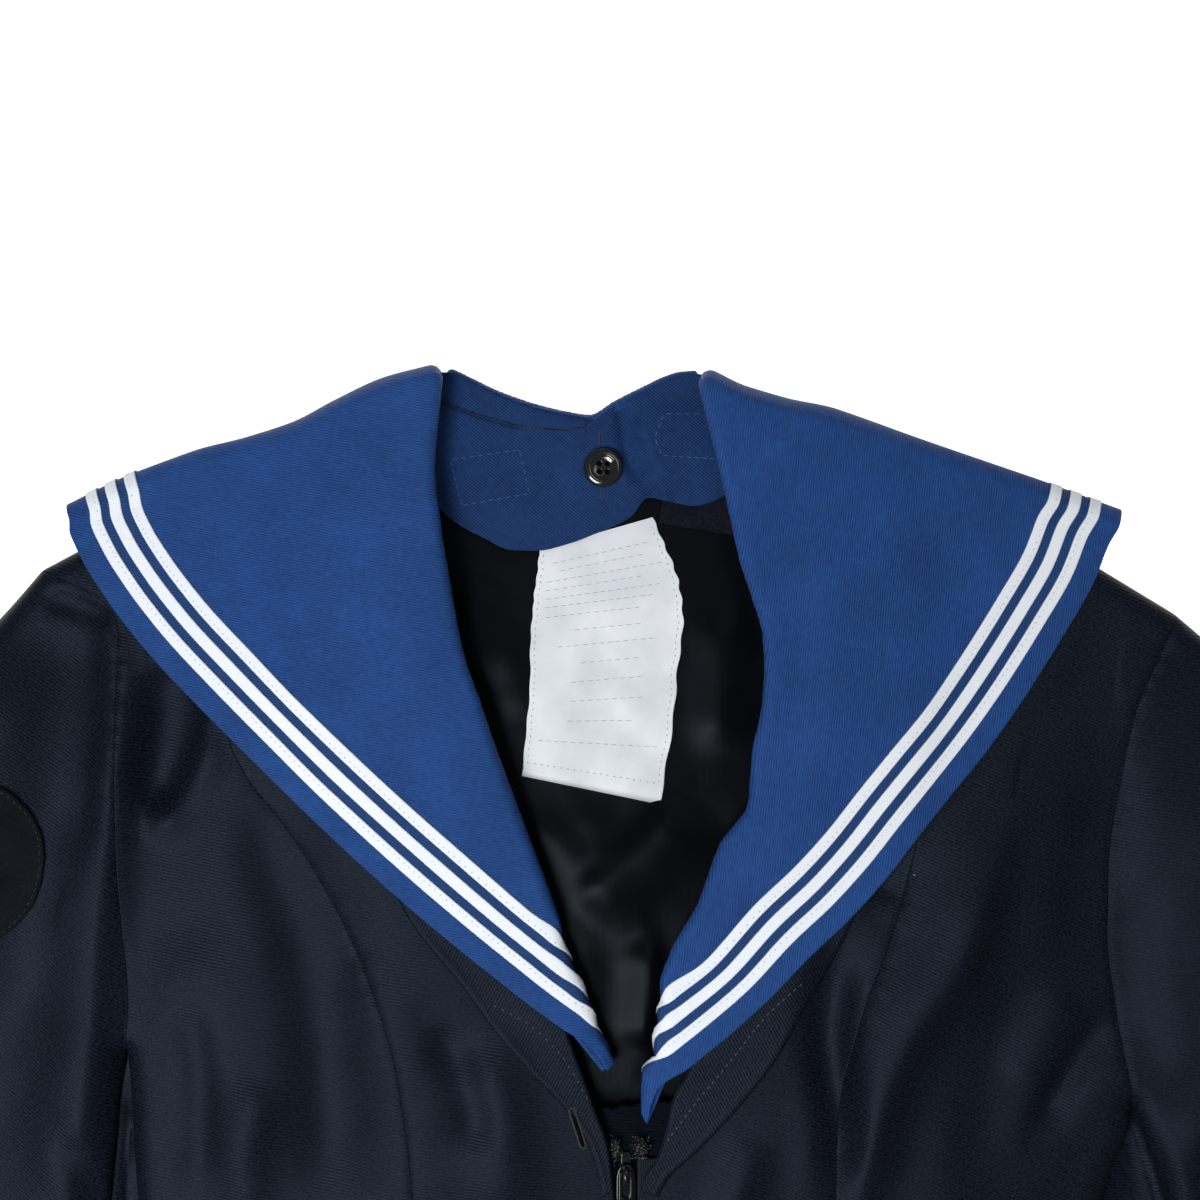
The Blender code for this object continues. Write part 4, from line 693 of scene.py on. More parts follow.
class Finish:
    """A material being put together: a Principled shader, and nodes added one by one."""

    def __init__(self, name, roughness, **sockets):
        """sockets are uniform values, by the shader's input names in small letters."""
        self.material = bpy.data.materials.new(name)
        self.material.use_nodes = True
        self.tree = self.material.node_tree
        self.shader = self.tree.nodes["Principled BSDF"]
        self.shader.inputs["Roughness"].default_value = roughness
        for socket, value in sockets.items():
            self.shader.inputs[SOCKETS[socket]].default_value = value

    def node(self, kind, inputs=(), **settings):
        """A node with its settings; each input is linked where its value is a socket, and set where it isn't."""
        made = self.tree.nodes.new(kind)
        for key, value in settings.items():
            setattr(made, key, value)
        for key, value in dict(inputs).items():
            if isinstance(value, bpy.types.NodeSocket):
                self.tree.links.new(value, made.inputs[key])
            else:
                made.inputs[key].default_value = value
        return made

    def maths(self, operation, a, b=0.0, c=0.0):
        """One Math node's result."""
        return self.node("ShaderNodeMath", {0: a, 1: b, 2: c}, operation=operation).outputs[0]

    def noise(self, vector, scale, detail=2.0, roughness=0.5):
        """Noise from 0 to 1; scale is its number of lumps in a metre."""
        made = self.node("ShaderNodeTexNoise", {"Vector": vector, "Scale": scale, "Detail": detail,
                                                "Roughness": roughness})
        return made.outputs["Fac"]

    def uv(self):
        """The cloth's own u and v in metres, and both as a vector."""
        vector = self.node("ShaderNodeUVMap", uv_map="cloth").outputs["UV"]
        parts = self.node("ShaderNodeSeparateXYZ", {0: vector})
        return parts.outputs[0], parts.outputs[1], vector

    def blend(self, share, first, second):
        """A colour between two, by a share from 0 to 1."""
        mix = self.node("ShaderNodeMix", {"Factor": share}, data_type="RGBA")
        for slot, value in ((6, first), (7, second)):
            if isinstance(value, bpy.types.NodeSocket):
                self.tree.links.new(value, mix.inputs[slot])
            else:
                mix.inputs[slot].default_value = (*value, 1)
        return mix.outputs[2]

    def span(self, value, low, high, to_low=0.0, to_high=1.0):
        """Maps low..high to to_low..to_high, and holds it there."""
        return self.node("ShaderNodeMapRange", {"Value": value, "From Min": low, "From Max": high,
                                                "To Min": to_low, "To Max": to_high}).outputs[0]

    def colour(self, value):
        """Links the base colour."""
        self.tree.links.new(value, self.shader.inputs["Base Color"])

    def rough(self, value):
        """Links the roughness."""
        self.tree.links.new(value, self.shader.inputs["Roughness"])

    def bump(self, height, distance, strength=1.0, after=None):
        """Bump whose height 0 to 1 stands for the distance in metres."""
        inputs = {"Height": height, "Distance": distance, "Strength": strength}
        if after is not None:
            inputs["Normal"] = after
        made = self.node("ShaderNodeBump", inputs).outputs[0]
        self.tree.links.new(made, self.shader.inputs["Normal"])
        return made


def twill(finish, pitch, uneven, nap=1.5):
    """Ribs along u: a sine across v, broken along each rib by the slant of its floats, both a little uneven.
    Returns the rib height from 0 to 1 and the uv vector."""
    u, v, vector = finish.uv()
    drift = finish.noise(vector, 90.0, 3.0)
    shifted_v = finish.maths("MULTIPLY_ADD", drift, uneven, v)
    rib = finish.maths("SINE", finish.maths("MULTIPLY", shifted_v, 2 * math.pi / pitch))
    slant = finish.maths("MULTIPLY_ADD", v, 0.9, u)
    yarn = finish.maths("SINE", finish.maths("MULTIPLY", slant, 2 * math.pi / (0.62 * pitch)))
    both = finish.maths("MULTIPLY_ADD", yarn, 0.32, rib)
    fuzz = finish.noise(vector, 2600.0, 3.0, 0.7)
    height = finish.maths("MULTIPLY_ADD", finish.maths("SUBTRACT", fuzz, 0.5), nap, both)
    return finish.span(height, -1.6, 1.6), vector


def lint(finish, vector, colour, amount=0.014):
    """Pale specks of lint: the cores of a few cells out of many."""
    cells = finish.node("ShaderNodeTexVoronoi", {"Vector": vector, "Scale": 60.0, "Randomness": 1.0})
    core = finish.maths("LESS_THAN", cells.outputs["Distance"], 0.02)
    parts = finish.node("ShaderNodeSeparateColor", {0: cells.outputs["Color"]})
    chosen = finish.maths("LESS_THAN", parts.outputs[0], amount * 10)
    return finish.blend(finish.maths("MULTIPLY", finish.maths("MULTIPLY", core, chosen), 0.7), colour,
                        (0.28, 0.30, 0.34))


def serge(name, dark, light, pitch=0.00118, depth=0.00013, specular=0.082):
    """Wool serge twill, matt with a soft nap."""
    finish = Finish(name, 0.46, specular=specular, specular_tint=(0.56, 0.72, 1.0, 1), sheen_weight=0.004)
    rib, vector = twill(finish, pitch, 0.0009)
    patches = finish.noise(vector, 30.0, 4.0, 0.6)
    fleck = finish.noise(vector, 900.0, 2.0, 0.7)
    share = finish.maths("MULTIPLY_ADD", finish.maths("SUBTRACT", patches, 0.5), 0.6, rib)
    share = finish.span(share, 0, 1, 0.15, 0.85)
    share = finish.maths("MULTIPLY_ADD", finish.maths("SUBTRACT", fleck, 0.5), 2.4, share)
    finish.colour(lint(finish, vector, finish.blend(finish.span(share, 0.0, 1.05), dark, light)))
    finish.bump(rib, depth, 0.9)
    return finish.material


def drill_cloth(name, dark, light):
    """Blue cotton drill: fine twill, with faint worn patches, and painted shade between the tapes, where the mesh's
    attribute marks them.
    """
    finish = Finish(name, 0.6, specular=0.14, specular_tint=(0.6, 0.75, 1.0, 1), sheen_weight=0.02)
    rib, vector = twill(finish, 0.00095, 0.0006, 1.0)
    patches = finish.noise(vector, 26.0, 5.0, 0.62)
    slub = finish.noise(vector, 420.0, 3.0, 0.6)
    worn = finish.span(finish.noise(vector, 60.0, 4.0, 0.6), 0.58, 0.75)
    share = finish.maths("MULTIPLY_ADD", finish.maths("SUBTRACT", patches, 0.5), 0.9, rib)
    share = finish.maths("MULTIPLY_ADD", finish.maths("SUBTRACT", slub, 0.5), 0.8, share)
    share = finish.maths("MULTIPLY_ADD", worn, 0.2, share)
    # Painted shade between the tapes: where the mesh marks the collar between them, the colour is mixed halfway
    # towards a dark blue.
    between = finish.node("ShaderNodeAttribute", attribute_name="painted_shade_between_tapes").outputs["Fac"]
    shade = finish.blend(finish.span(share, 0, 1.1), dark, light)
    shade = finish.blend(finish.maths("MULTIPLY", between, 0.5), shade, (0.010, 0.030, 0.085))
    finish.colour(lint(finish, vector, shade, 0.01))
    finish.bump(rib, 0.00028, 0.8)
    return finish.material


def tape_cloth(name, colour, holes):
    """White ribbed tape, with a row of needle holes where asked. u runs across the tape from 0 to 1, v along it in
    metres."""
    finish = Finish(name, 0.6, specular=0.35, sheen_weight=0.08)
    u, v, vector = finish.uv()
    rib = finish.maths("SINE", finish.maths("MULTIPLY", v, 2 * math.pi / 0.00055))
    grain = finish.noise(vector, 420.0, 3.0)
    beat = finish.maths("PINGPONG", v, 0.0013)
    hole = finish.maths("MULTIPLY", finish.maths("LESS_THAN", beat, 0.00022 if holes else -1.0),
                        finish.maths("LESS_THAN", finish.maths("ABSOLUTE", finish.maths("SUBTRACT", u, 0.33)), 0.055))
    # Painted shadow: a dark blue line along both edges of the tape.
    selvedge_shadow = finish.maths("GREATER_THAN", finish.maths("ABSOLUTE", finish.maths("SUBTRACT", u, 0.5)), 0.45)
    shade = finish.blend(finish.span(grain, 0.3, 0.7), tuple(0.93 * c for c in colour), colour)
    shade = finish.blend(finish.maths("MULTIPLY", selvedge_shadow, 0.75), shade, (0.03, 0.06, 0.14))
    finish.colour(finish.blend(finish.maths("MULTIPLY", hole, 0.62), shade, (0.22, 0.25, 0.33)))
    height = finish.maths("MULTIPLY_ADD", rib, 0.25, finish.maths("MULTIPLY", hole, -1.6))
    finish.bump(finish.span(height, -1.6, 0.3), 0.00022, 0.8)
    return finish.material


def satin(name, dark, light, roughness, specular, crumple=0.0):
    """Satin: smooth warp floats with a soft gloss, faint lines and a fine crumple."""
    finish = Finish(name, roughness, specular=specular, specular_tint=(0.72, 0.86, 1.0, 1))
    _, v, vector = finish.uv()
    line = finish.maths("SINE", finish.maths("MULTIPLY", v, 2 * math.pi / 0.00045))
    cloud = finish.noise(vector, 45.0, 3.0)
    share = finish.maths("MULTIPLY_ADD", line, 0.12, finish.span(cloud, 0.3, 0.7))
    finish.colour(finish.blend(finish.span(share, 0, 1), dark, light))
    first = finish.bump(finish.noise(vector, 55.0, 2.0, 0.4), crumple)
    finish.bump(finish.span(line, -1, 1), 0.00003, 0.5, first)
    return finish.material


def felt(name, dark, light):
    """Pressed wool felt: short matted hair, no weave."""
    finish = Finish(name, 0.9, specular=0.04, sheen_weight=0.008)
    _, _, vector = finish.uv()
    hair = finish.noise(vector, 900.0, 5.0, 0.75)
    cloud = finish.noise(vector, 70.0, 3.0)
    finish.colour(finish.blend(finish.span(finish.maths("MULTIPLY_ADD", cloud, 0.6, hair), 0.5, 1.1), dark, light))
    finish.bump(hair, 0.0005, 0.8)
    return finish.material


def gloss(name, colour, roughness, specular=0.5):
    """Hard black gloss: moulded plastic, or enamel on metal, with faint handling marks."""
    finish = Finish(name, roughness, specular=specular)
    vector = finish.node("ShaderNodeTexCoord").outputs["Object"]
    mark = finish.noise(vector, 700.0, 4.0, 0.6)
    finish.colour(finish.blend(mark, tuple(0.8 * c for c in colour), tuple(1.3 * c for c in colour)))
    finish.rough(finish.span(mark, 0.3, 0.7, roughness * 0.8, roughness * 1.5))
    return finish.material


THREADS = {
    "thread_pale": (0.075, 0.083, 0.105), "thread_navy": (0.016, 0.018, 0.026), "thread_olive": (0.021, 0.023, 0.021),
    "thread_seam": (0.002, 0.006, 0.022), "thread_blue": (0.026, 0.085, 0.260), "thread_drill": (0.009, 0.032, 0.105),
    "thread_label": (0.26, 0.33, 0.42),
}


def thread(name, colour):
    """Spun thread: twisted plies along Object coordinates."""
    finish = Finish(name, 0.7, specular=0.3, sheen_weight=0.1)
    vector = finish.node("ShaderNodeTexCoord").outputs["Object"]
    ply = finish.noise(vector, 2500.0, 3.0, 0.7)
    finish.colour(finish.blend(finish.span(ply, 0.3, 0.7), tuple(0.6 * c for c in colour), colour))
    finish.bump(ply, 0.0001, 0.6)
    return finish.material


def finish_for(name):
    """The material of a finish, made at its first use."""
    if name in bpy.data.materials:
        return bpy.data.materials[name]
    look = bpy.context.scene.jumper_look
    wool, blue = np.array(look.wool_colour), np.array(look.drill_colour)
    makers = {
        "serge": lambda: serge(name, tuple(wool * 0.1), tuple(wool * 2.2)),
        # The guard's copy of the wool, painted darker: painted shade behind the zip, under the fronts.
        "serge_painted_shade": lambda: serge(name, tuple(wool * 0.1), tuple(wool * 0.9), specular=0.02),
        "drill": lambda: drill_cloth(name, tuple(blue * 0.54), tuple(blue * 1.5)),
        # The yoke's copy of the drill, painted darker: painted shade of the deep neck opening under the lapels.
        "drill_painted_shade": lambda: drill_cloth(name, tuple(blue * 0.26), tuple(blue * 0.86)),
        "tape_stitched": lambda: tape_cloth(name, tuple(look.tape_colour), True),
        "tape_plain": lambda: tape_cloth(name, tuple(look.tape_colour), False),
        "satin_black": lambda: satin(name, (0.0008, 0.0010, 0.0016), (0.0016, 0.0020, 0.0030), 0.34, 0.04, 0.0002),
        "satin_white": lambda: satin(name, (0.44, 0.46, 0.49), (0.58, 0.60, 0.63), 0.4, 0.3, 0.0006),
        "felt_black": lambda: felt(name, (0.002, 0.0026, 0.0034), (0.007, 0.009, 0.012)),
        # A near-black felt for dark shapes set in openings: painted shade in the buttonhole slits and the button's
        # eyes.
        "painted_shade_black": lambda: felt(name, (0.0003, 0.0003, 0.0004), (0.0012, 0.0013, 0.0016)),
        "loops_black": lambda: felt(name, (0.0006, 0.0008, 0.0012), (0.010, 0.012, 0.022)),
        "nylon_black": lambda: serge(name, (0.001, 0.001, 0.0015), (0.004, 0.004, 0.005), 0.0009, 0.0001),
        "plastic_black": lambda: gloss(name, (0.006, 0.006, 0.007), 0.1),
        "enamel_black": lambda: gloss(name, (0.004, 0.004, 0.005), 0.075, 0.24),
        **{kind: lambda colour=colour: thread(name, colour) for kind, colour in THREADS.items()},
    }
    made = makers[name]()
    made.name = name
    return made


# ---- cloth


def front_centre(side):
    """The centre front: straight rows from the neck edge to the princess seam."""
    away = 1 if side == "left" else -1
    rows = fine_rows(ARMHOLE[side][0][0], 1.9, 6.0)
    neck = row_points(NECK_EDGE[side], rows)
    seam = shifted(row_points(PRINCESS_SEAM[side], rows), -away * FINE_GAP / 2)
    plan = ruled(neck, seam, shares_across(np.linalg.norm(seam - neck, axis=1), 2.1))
    on_edge = np.zeros(plan.shape[:2], bool)
    on_edge[0] = True
    skin_piece(f"front_centre_{side}", plan, True, side, on_edge, ("shoulder",), -9 if side == "right" else -18)


def front_side(side):
    """The side front: straight rows from the princess seam to the armhole, and below it to the folded side."""
    away = 1 if side == "left" else -1
    rows = fine_rows(ARMHOLE[side][0][0], 1.9, 6.0)
    seam = shifted(row_points(PRINCESS_SEAM[side], rows), away * FINE_GAP / 2)
    edge = outer_points(side, rows)
    pit_row = int(np.argmin(np.abs(rows - ARMHOLE[side][-1][0])))
    edge[: pit_row + 1] = shifted(edge[: pit_row + 1], -away * FINE_GAP / 2)
    plan = ruled(seam, edge, shares_across(np.linalg.norm(edge - seam, axis=1), 2.1))
    on_edge = np.zeros(plan.shape[:2], bool)
    on_edge[0] = True
    on_edge[pit_row:, -1] = True
    skin_piece(f"front_side_{side}", plan, True, side, on_edge, ("shoulder", "flank"),
               -12 if side == "right" else -22)


def revers_surface(side, plan):
    """Upper points and normals of the revers over a plan grid: the front's own, moved out."""
    outer, normal = skin(plan, True, side, np.zeros(plan.shape[:2], bool), ("shoulder",))
    return outer + (LAY_GAP + WOOL) * normal, normal


def revers(side):
    """The facing turned out along the neck edge. It is thick at the neck edge and thins towards its outer edge."""
    top, bottom = 70.0, -226.0
    y = np.concatenate([top - np.array(BORDER), np.linspace(top - 10.5, bottom + 10.5, 170),
                        bottom + np.array(BORDER)[::-1]])
    neck = np.stack([column(NECK_EDGE[side], y), y], 1)
    away = 1 if side == "left" else -1
    fold = np.stack([column(REVERS_EDGE[side], y), y - 2.0], 1)
    fold[:, 0] = neck[:, 0] + away * np.maximum(away * (fold[:, 0] - neck[:, 0]), 1.5)
    width = np.linalg.norm(fold - neck, axis=1)
    plan = ruled(neck, fold, shares_across(width, 1.7))
    outer, normal = revers_surface(side, plan)
    from_fold = width[:, None] * (1 - shares_across(width, 1.7))
    thick = 1.15 + (WOOL - 1.15) * smooth(from_fold / 5.0)
    bead = 0.45 * np.exp(-(((from_fold - 1.8) / 1.5) ** 2))
    outer = outer - normal * (WOOL - thick - bead)[..., None]
    lay_piece(f"revers_{side}", wall(outer, normal, thick), turned_uv(plan, 62 if side == "right" else -62), "serge",
              "wool_serge")


def sleeve_plan(side, rows, spread):
    """Plan grid of a sleeve: its first ring is the armhole, its last one the cuff, and spread gives the shares
    of the armhole's length at which its columns lie."""
    top, pit = ARMHOLE[side][0][0], ARMHOLE[side][-1][0]
    away = 1 if side == "left" else -1
    line = shifted(outer_points(side, np.linspace(top, pit, 160)), away * FINE_GAP / 2)
    run = run_along(line)
    hole = np.stack([np.interp(spread * run[-1], run, line[:, k]) for k in (0, 1)], 1)
    table = np.array(SLEEVE[side], float)
    table[0, 1:3], table[0, 3:5] = hole[0], hole[-1]
    ends = curve(table[:, 0], table[:, 1:], rows)
    share = spread[None, :, None]
    chord = hole[0] * (1 - share[0]) + hole[-1] * share[0]
    cap = (hole - chord)[None] * np.exp(-rows / SLEEVE_CAP_FADE)[:, None, None]
    return ends[:, None, :2] * (1 - share) + ends[:, None, 2:] * share + cap


def sleeve(side, upper):
    """The upper or the under half of a sleeve, between its two folded edges."""
    length = np.linalg.norm(np.subtract(SLEEVE[side][-1][1:3], SLEEVE[side][0][1:3]))
    border = np.array(BORDER) / length
    if upper:
        seen = np.linspace(border[-1], 0.42, 110)
        rows = np.concatenate([border[:-1], seen, np.linspace(0.42, 1 - border[-1], 50)[1:], 1 - border[-2::-1]])
        spread = shares_across(np.array([175.0]), 1.9)[0]
    else:
        rows = np.concatenate([border[:-1], np.linspace(border[-1], 1 - border[-1], 90), 1 - border[-2::-1]])
        spread = shares_across(np.array([175.0]), 4.5)[0]
    plan = sleeve_plan(side, rows, spread)
    on_edge = np.zeros(plan.shape[:2], bool)
    on_edge[:, 0] = True
    on_edge[:, -1] = True
    skin_piece(f"{'upper' if upper else 'under'}_sleeve_{side}", plan, upper, side, on_edge, ("outer", "inner"),
               -36 if side == "right" else -9)


def back_plan():
    """Plan grid of the back, from the shoulders to the hem, and its rows at which the armholes end."""
    edges, pit_rows = {}, {}
    for side, away in (("right", -1), ("left", 1)):
        top = ARMHOLE[side][0][0]
        rows = top + (fine_rows(ARMHOLE["right"][0][0], 4.0, 7.0) - ARMHOLE["right"][0][0]) * (
            (top - HEM_Y) / (ARMHOLE["right"][0][0] - HEM_Y))
        edge = outer_points(side, rows)
        pit_rows[side] = int(np.argmin(np.abs(rows - ARMHOLE[side][-1][0])))
        part = slice(0, pit_rows[side] + 1)
        edge[part] = shifted(edge[part], -away * SEAM_GAP / 2)
        below = slice(pit_rows[side], None)
        sleeve_x = column([(row[4], row[3]) for row in SLEEVE[side]], rows[below])
        near_pit = PIT_LAP * np.exp((rows[below] - ARMHOLE[side][-1][0]) / PIT_FADE)
        room = np.maximum(away * (sleeve_x - edge[below, 0]) + UNDERARM_LAP + near_pit, 0)
        edge[below, 0] += away * room * smooth((rows[below] - UNDERARM_END) / 40)
        edges[side] = edge
    right, left = edges["right"], edges["left"]
    plan = ruled(right, left, shares_across(np.linalg.norm(left - right, axis=1), 4.4))
    outline = np.array(sorted(map(tuple, EDGES["right"]["shoulder"])) + BACK_NECK[1:-1]
                       + sorted(map(tuple, EDGES["left"]["shoulder"])))
    top_line = np.interp(plan[0, :, 0], outline[:, 0], outline[:, 1])
    drop = (right[0, 1] - right[:, 1]) / (right[0, 1] - HEM_Y)
    plan[:, :, 1] += (top_line - plan[0, :, 1])[None, :] * ((1 - drop) ** 2)[:, None]
    return plan, pit_rows


def back():
    """The back, whose underarm fills the gaps beside the sleeves."""
    plan, pit_rows = back_plan()
    on_edge = np.zeros(plan.shape[:2], bool)
    on_edge[0] = (plan[0, :, 0] <= BACK_NECK[0][0] + 0.01) | (plan[0, :, 0] >= BACK_NECK[-1][0] - 0.01)
    for side, edge in (("right", 0), ("left", -1)):
        on_edge[pit_rows[side]:, edge] = plan[pit_rows[side]:, edge, 1] < UNDERARM_END
    skin_piece("back", plan, False, "both", on_edge, ("shoulder", "flank"), -6)


def lining_level(points):
    """Height of the lining's upper side: on the back, with the wrinkles that show in the neck opening."""
    calm = smooth((points[:, 1] - 14) / 16)
    wave = folds(points, LINING_FOLDS) + 0.35 * (1 + ripple(points, 44, 11)) + 0.07 * ripple(points, 14, 12)
    return sole(points) + WOOL + LAY_GAP + FINE_SATIN + np.maximum(wave, 0) * (1 - 0.75 * calm)


def level_normals(level, points, reach=0.4):
    """Upward normals (-dz/dx, -dz/dy, 1) of a height function, its slopes taken over a reach to both sides."""
    slope = [(level(points + d) - level(points - d)) / (2 * reach) for d in ((reach, 0), (0, reach))]
    return unit(np.stack([-slope[0], -slope[1], np.ones(len(points))], 1))


def laid(level, plan):
    """Points and normals of a cloth laid over a height function."""
    points = plan.reshape(-1, 2)
    outer = np.hstack([points, level(points)[:, None]]).reshape(*plan.shape[:2], 3)
    return outer, level_normals(level, points).reshape(*plan.shape[:2], 3)


def lining():
    """The satin lining: upright columns from 10 mm below the neck and shoulders, closest where it shows."""
    x = np.concatenate([np.linspace(-166, -78, 16)[:-1], np.linspace(-78, 78, 72), np.linspace(78, 172, 16)[1:]])
    outline = np.array([(ARMHOLE["right"][0][1], ARMHOLE["right"][0][0]),
                        (PRINCESS_SEAM["right"][0][1], PRINCESS_SEAM["right"][0][0]), *BACK_NECK,
                        (PRINCESS_SEAM["left"][0][1], PRINCESS_SEAM["left"][0][0]),
                        (ARMHOLE["left"][0][1], ARMHOLE["left"][0][0])])
    top = np.interp(x, outline[:, 0], outline[:, 1]) - 10
    down = np.concatenate([np.linspace(0, 0.74, 110), np.linspace(0.76, 1, 16)])
    y = top[None] + down[:, None] * (-290 - top)[None]
    plan = np.stack(np.broadcast_arrays(x[None], y), -1)
    level_piece("back_lining", lining_level, plan, FINE_SATIN, 90, "satin_black", "black_satin")


# ---- collar


def cover(points):
    """1 over the revers and the neck opening, 0 well outside them."""
    shares = []
    for side, away in (("right", -1), ("left", 1)):
        edge_x = column(REVERS_EDGE[side], points[:, 1])
        shares.append(1 - smooth((away * (points[:, 0] - edge_x) - COVER_MARGIN) / COVER_RAMP))
    return np.minimum(*shares)


def lapel_height(points):
    """Height of the middle of the collar's cloth where it lies on the front."""
    soft = folds(points, LAPEL_FOLDS) + 0.35 * (ripple(points, 60, 21) + 0.5)
    return plain_crown(points) + (LAY_GAP + WOOL) * cover(points) + LAPEL_GAP + DRILL / 2 + np.maximum(soft, -0.2)


TAPE_WIDTH = 4.8
TAPE_SPACE = 3.2
TAPE_LINES = tuple(EDGE_MARGIN + n * (TAPE_WIDTH + TAPE_SPACE) + w for n in range(3) for w in (0, TAPE_WIDTH))
BAND = TAPE_LINES[-1]


def two_leg_path(edge, mitre, end, leg):
    """Plan path from the outer edge: square to the edge for a leg, then straight to the end."""
    knee = edge + leg * mitre
    rest = np.linalg.norm(end - knee)

    def path(distance):
        distance = np.asarray(distance, float)[:, None]
        first = edge + distance * mitre
        if rest < 1e-6:
            return first
        return np.where(distance <= leg, first, knee + (end - knee) * (distance - leg) / rest)

    return path, leg + rest


def lapel_station(edge, roll, mitre, lift, radius, turn_in):
    """A line across a lapel: from its outer edge over the front to the roll line, where it turns under."""
    span = np.linalg.norm(roll - edge)
    leg = BAND if span > BAND + 12 else 0.0
    path, total = two_leg_path(edge, mitre if leg else unit(roll - edge), roll, leg)
    start = total - radius
    heading = np.append(unit(roll - path([start])[0]), 0)

    def place(distance):
        spot = path(distance)
        ramp = lift * (0.6 + 0.4 * np.asarray(distance) / max(start, 1))
        return np.column_stack([spot, lapel_height(spot) + ramp])

    def tuck(distance):
        spot = path([start]) - heading[:2] * np.asarray(distance, float)[:, None]
        return np.column_stack([spot, lapel_height(spot) + lift - 2 * radius])

    return dict(place=place, start=start, tuck=tuck, heading=heading, radius=radius, turn_in=turn_in)


def fold_station(side, angle):
    """A line over the shoulder: the collar turns under in a half ellipse about the line from its outer corner to
    the neck."""
    corner, neck = (np.array(p, float) for p in SHOULDER_LINE[side])
    along = unit(neck - corner)
    out = np.array([-along[1], along[0]]) * (1 if side == "right" else -1)
    start = np.linalg.norm(neck - corner) - FRONT_ROLL
    turn = math.radians(angle)
    bulge = np.array(SHOULDER_BULGE[side], float)

    def ellipse(distance, shrink):
        distance = np.asarray(distance, float)
        beyond = curve(bulge[:, 0], bulge[:, 1], distance / start) - SHOULDER_FOLD
        centre = corner + along * distance[:, None] + out * beyond[:, None]
        top = lapel_height(centre)
        middle, half = (top + FLAP_MID_Z) / 2, (top - FLAP_MID_Z) / 2
        wide = max(SHOULDER_FOLD - shrink, 1.5)
        spot = centre + out * wide * math.cos(turn)
        return np.column_stack([spot, middle + (half - shrink) * math.sin(turn)])

    return dict(place=lambda distance: ellipse(distance, 0), start=start,
                tuck=lambda distance: ellipse(start - np.asarray(distance), 2 * FRONT_ROLL),
                heading=np.append(along, 0), radius=FRONT_ROLL, turn_in=SHOULDER_TURN_IN)


def flap_station(edge, neck_fold, mitre):
    """A line across the flap: level on the floor from its edge to the neck, where it turns up and back."""
    heading = np.array([0.0, 1.0])
    base = neck_fold - BACK_BULGE * BACK_ROLL * heading
    path, total = two_leg_path(edge, mitre, base, BAND)

    def at_height(spot, z):
        return np.column_stack([spot, np.full(len(spot), z)])

    return dict(place=lambda distance: at_height(path(distance), FLAP_MID_Z), start=total,
                tuck=lambda distance: at_height(base - heading * np.asarray(distance, float)[:, None],
                                                FLAP_MID_Z + 2 * BACK_ROLL),
                heading=np.append(heading, 0) * BACK_BULGE, radius=BACK_ROLL,
                turn_in=FLAP_TURN_IN + (1 - BACK_BULGE) * BACK_ROLL)


def collar_stations():
    """Lines across the collar from the right lapel's tip, over the shoulder, round the flap and back to the left
    tip. Each holds place, points from their distance in from the outer edge; start, where the roll starts; its
    heading and radius; tuck, points of the strip turned in under it; and that strip's width."""
    front = {}
    for side in ("right", "left"):
        table = np.array(LAPEL[side], float)
        edge, roll = table[:, :2], table[:, 2:4]
        step = unit(np.diff(np.vstack([edge, SHOULDER_LINE[side][0]]), axis=0))
        normal = (1 if side == "right" else -1) * np.stack([step[:, 1], -step[:, 0]], 1)
        mitre = unit(np.vstack([normal[:1], normal[:-1]]) + normal)
        mitre = mitre / np.maximum((mitre * normal).sum(1), 0.5)[:, None]
        rolls = LAPEL_ROLL[side] + [LAPEL_ROLL[side][-1]] * (len(table) - len(LAPEL_ROLL[side]))
        front[side] = [lapel_station(edge[k], roll[k], mitre[k], *rolls[k]) for k in range(len(table))]
    edge = np.array([row[:2] for row in FLAP], float)
    flap = []
    for k, row in enumerate(FLAP):
        before = unit(edge[k] - edge[k - 1]) if k else np.array([0.0, -1.0])
        after = unit(edge[k + 1] - edge[k]) if k + 1 < len(FLAP) else np.array([0.0, 1.0])
        normals = [np.array([-v[1], v[0]]) for v in (before, after)]
        mitre = unit(normals[0] + normals[1])
        flap.append(flap_station(edge[k], np.array(row[2:], float), mitre / (mitre @ normals[1])))
    right_fold = [fold_station("right", angle) for angle in FOLD_ANGLES]
    left_fold = [fold_station("left", angle) for angle in FOLD_ANGLES[::-1]]
    return front["right"] + right_fold + flap + left_fold + front["left"][::-1]


def station_points(station, distances):
    """Points of the collar's middle surface along a station: the fall, a half circle of roll, the tucked strip."""
    distances = np.asarray(distances, float)
    start, radius = station["start"], station["radius"]
    points = station["place"](np.minimum(distances, start))
    bend = np.clip((distances - start) / radius, 0, math.pi)[:, None]
    begin, end = station["place"]([start]), station["tuck"]([0.0])
    rolled = (begin + end) / 2 + (begin - end) / 2 * np.cos(bend) + station["heading"] * radius * np.sin(bend)
    tucked = station["tuck"](np.maximum(distances - start - math.pi * radius, 0))
    points = np.where((distances > start)[:, None], rolled, points)
    return np.where((distances > start + math.pi * radius)[:, None], tucked, points)


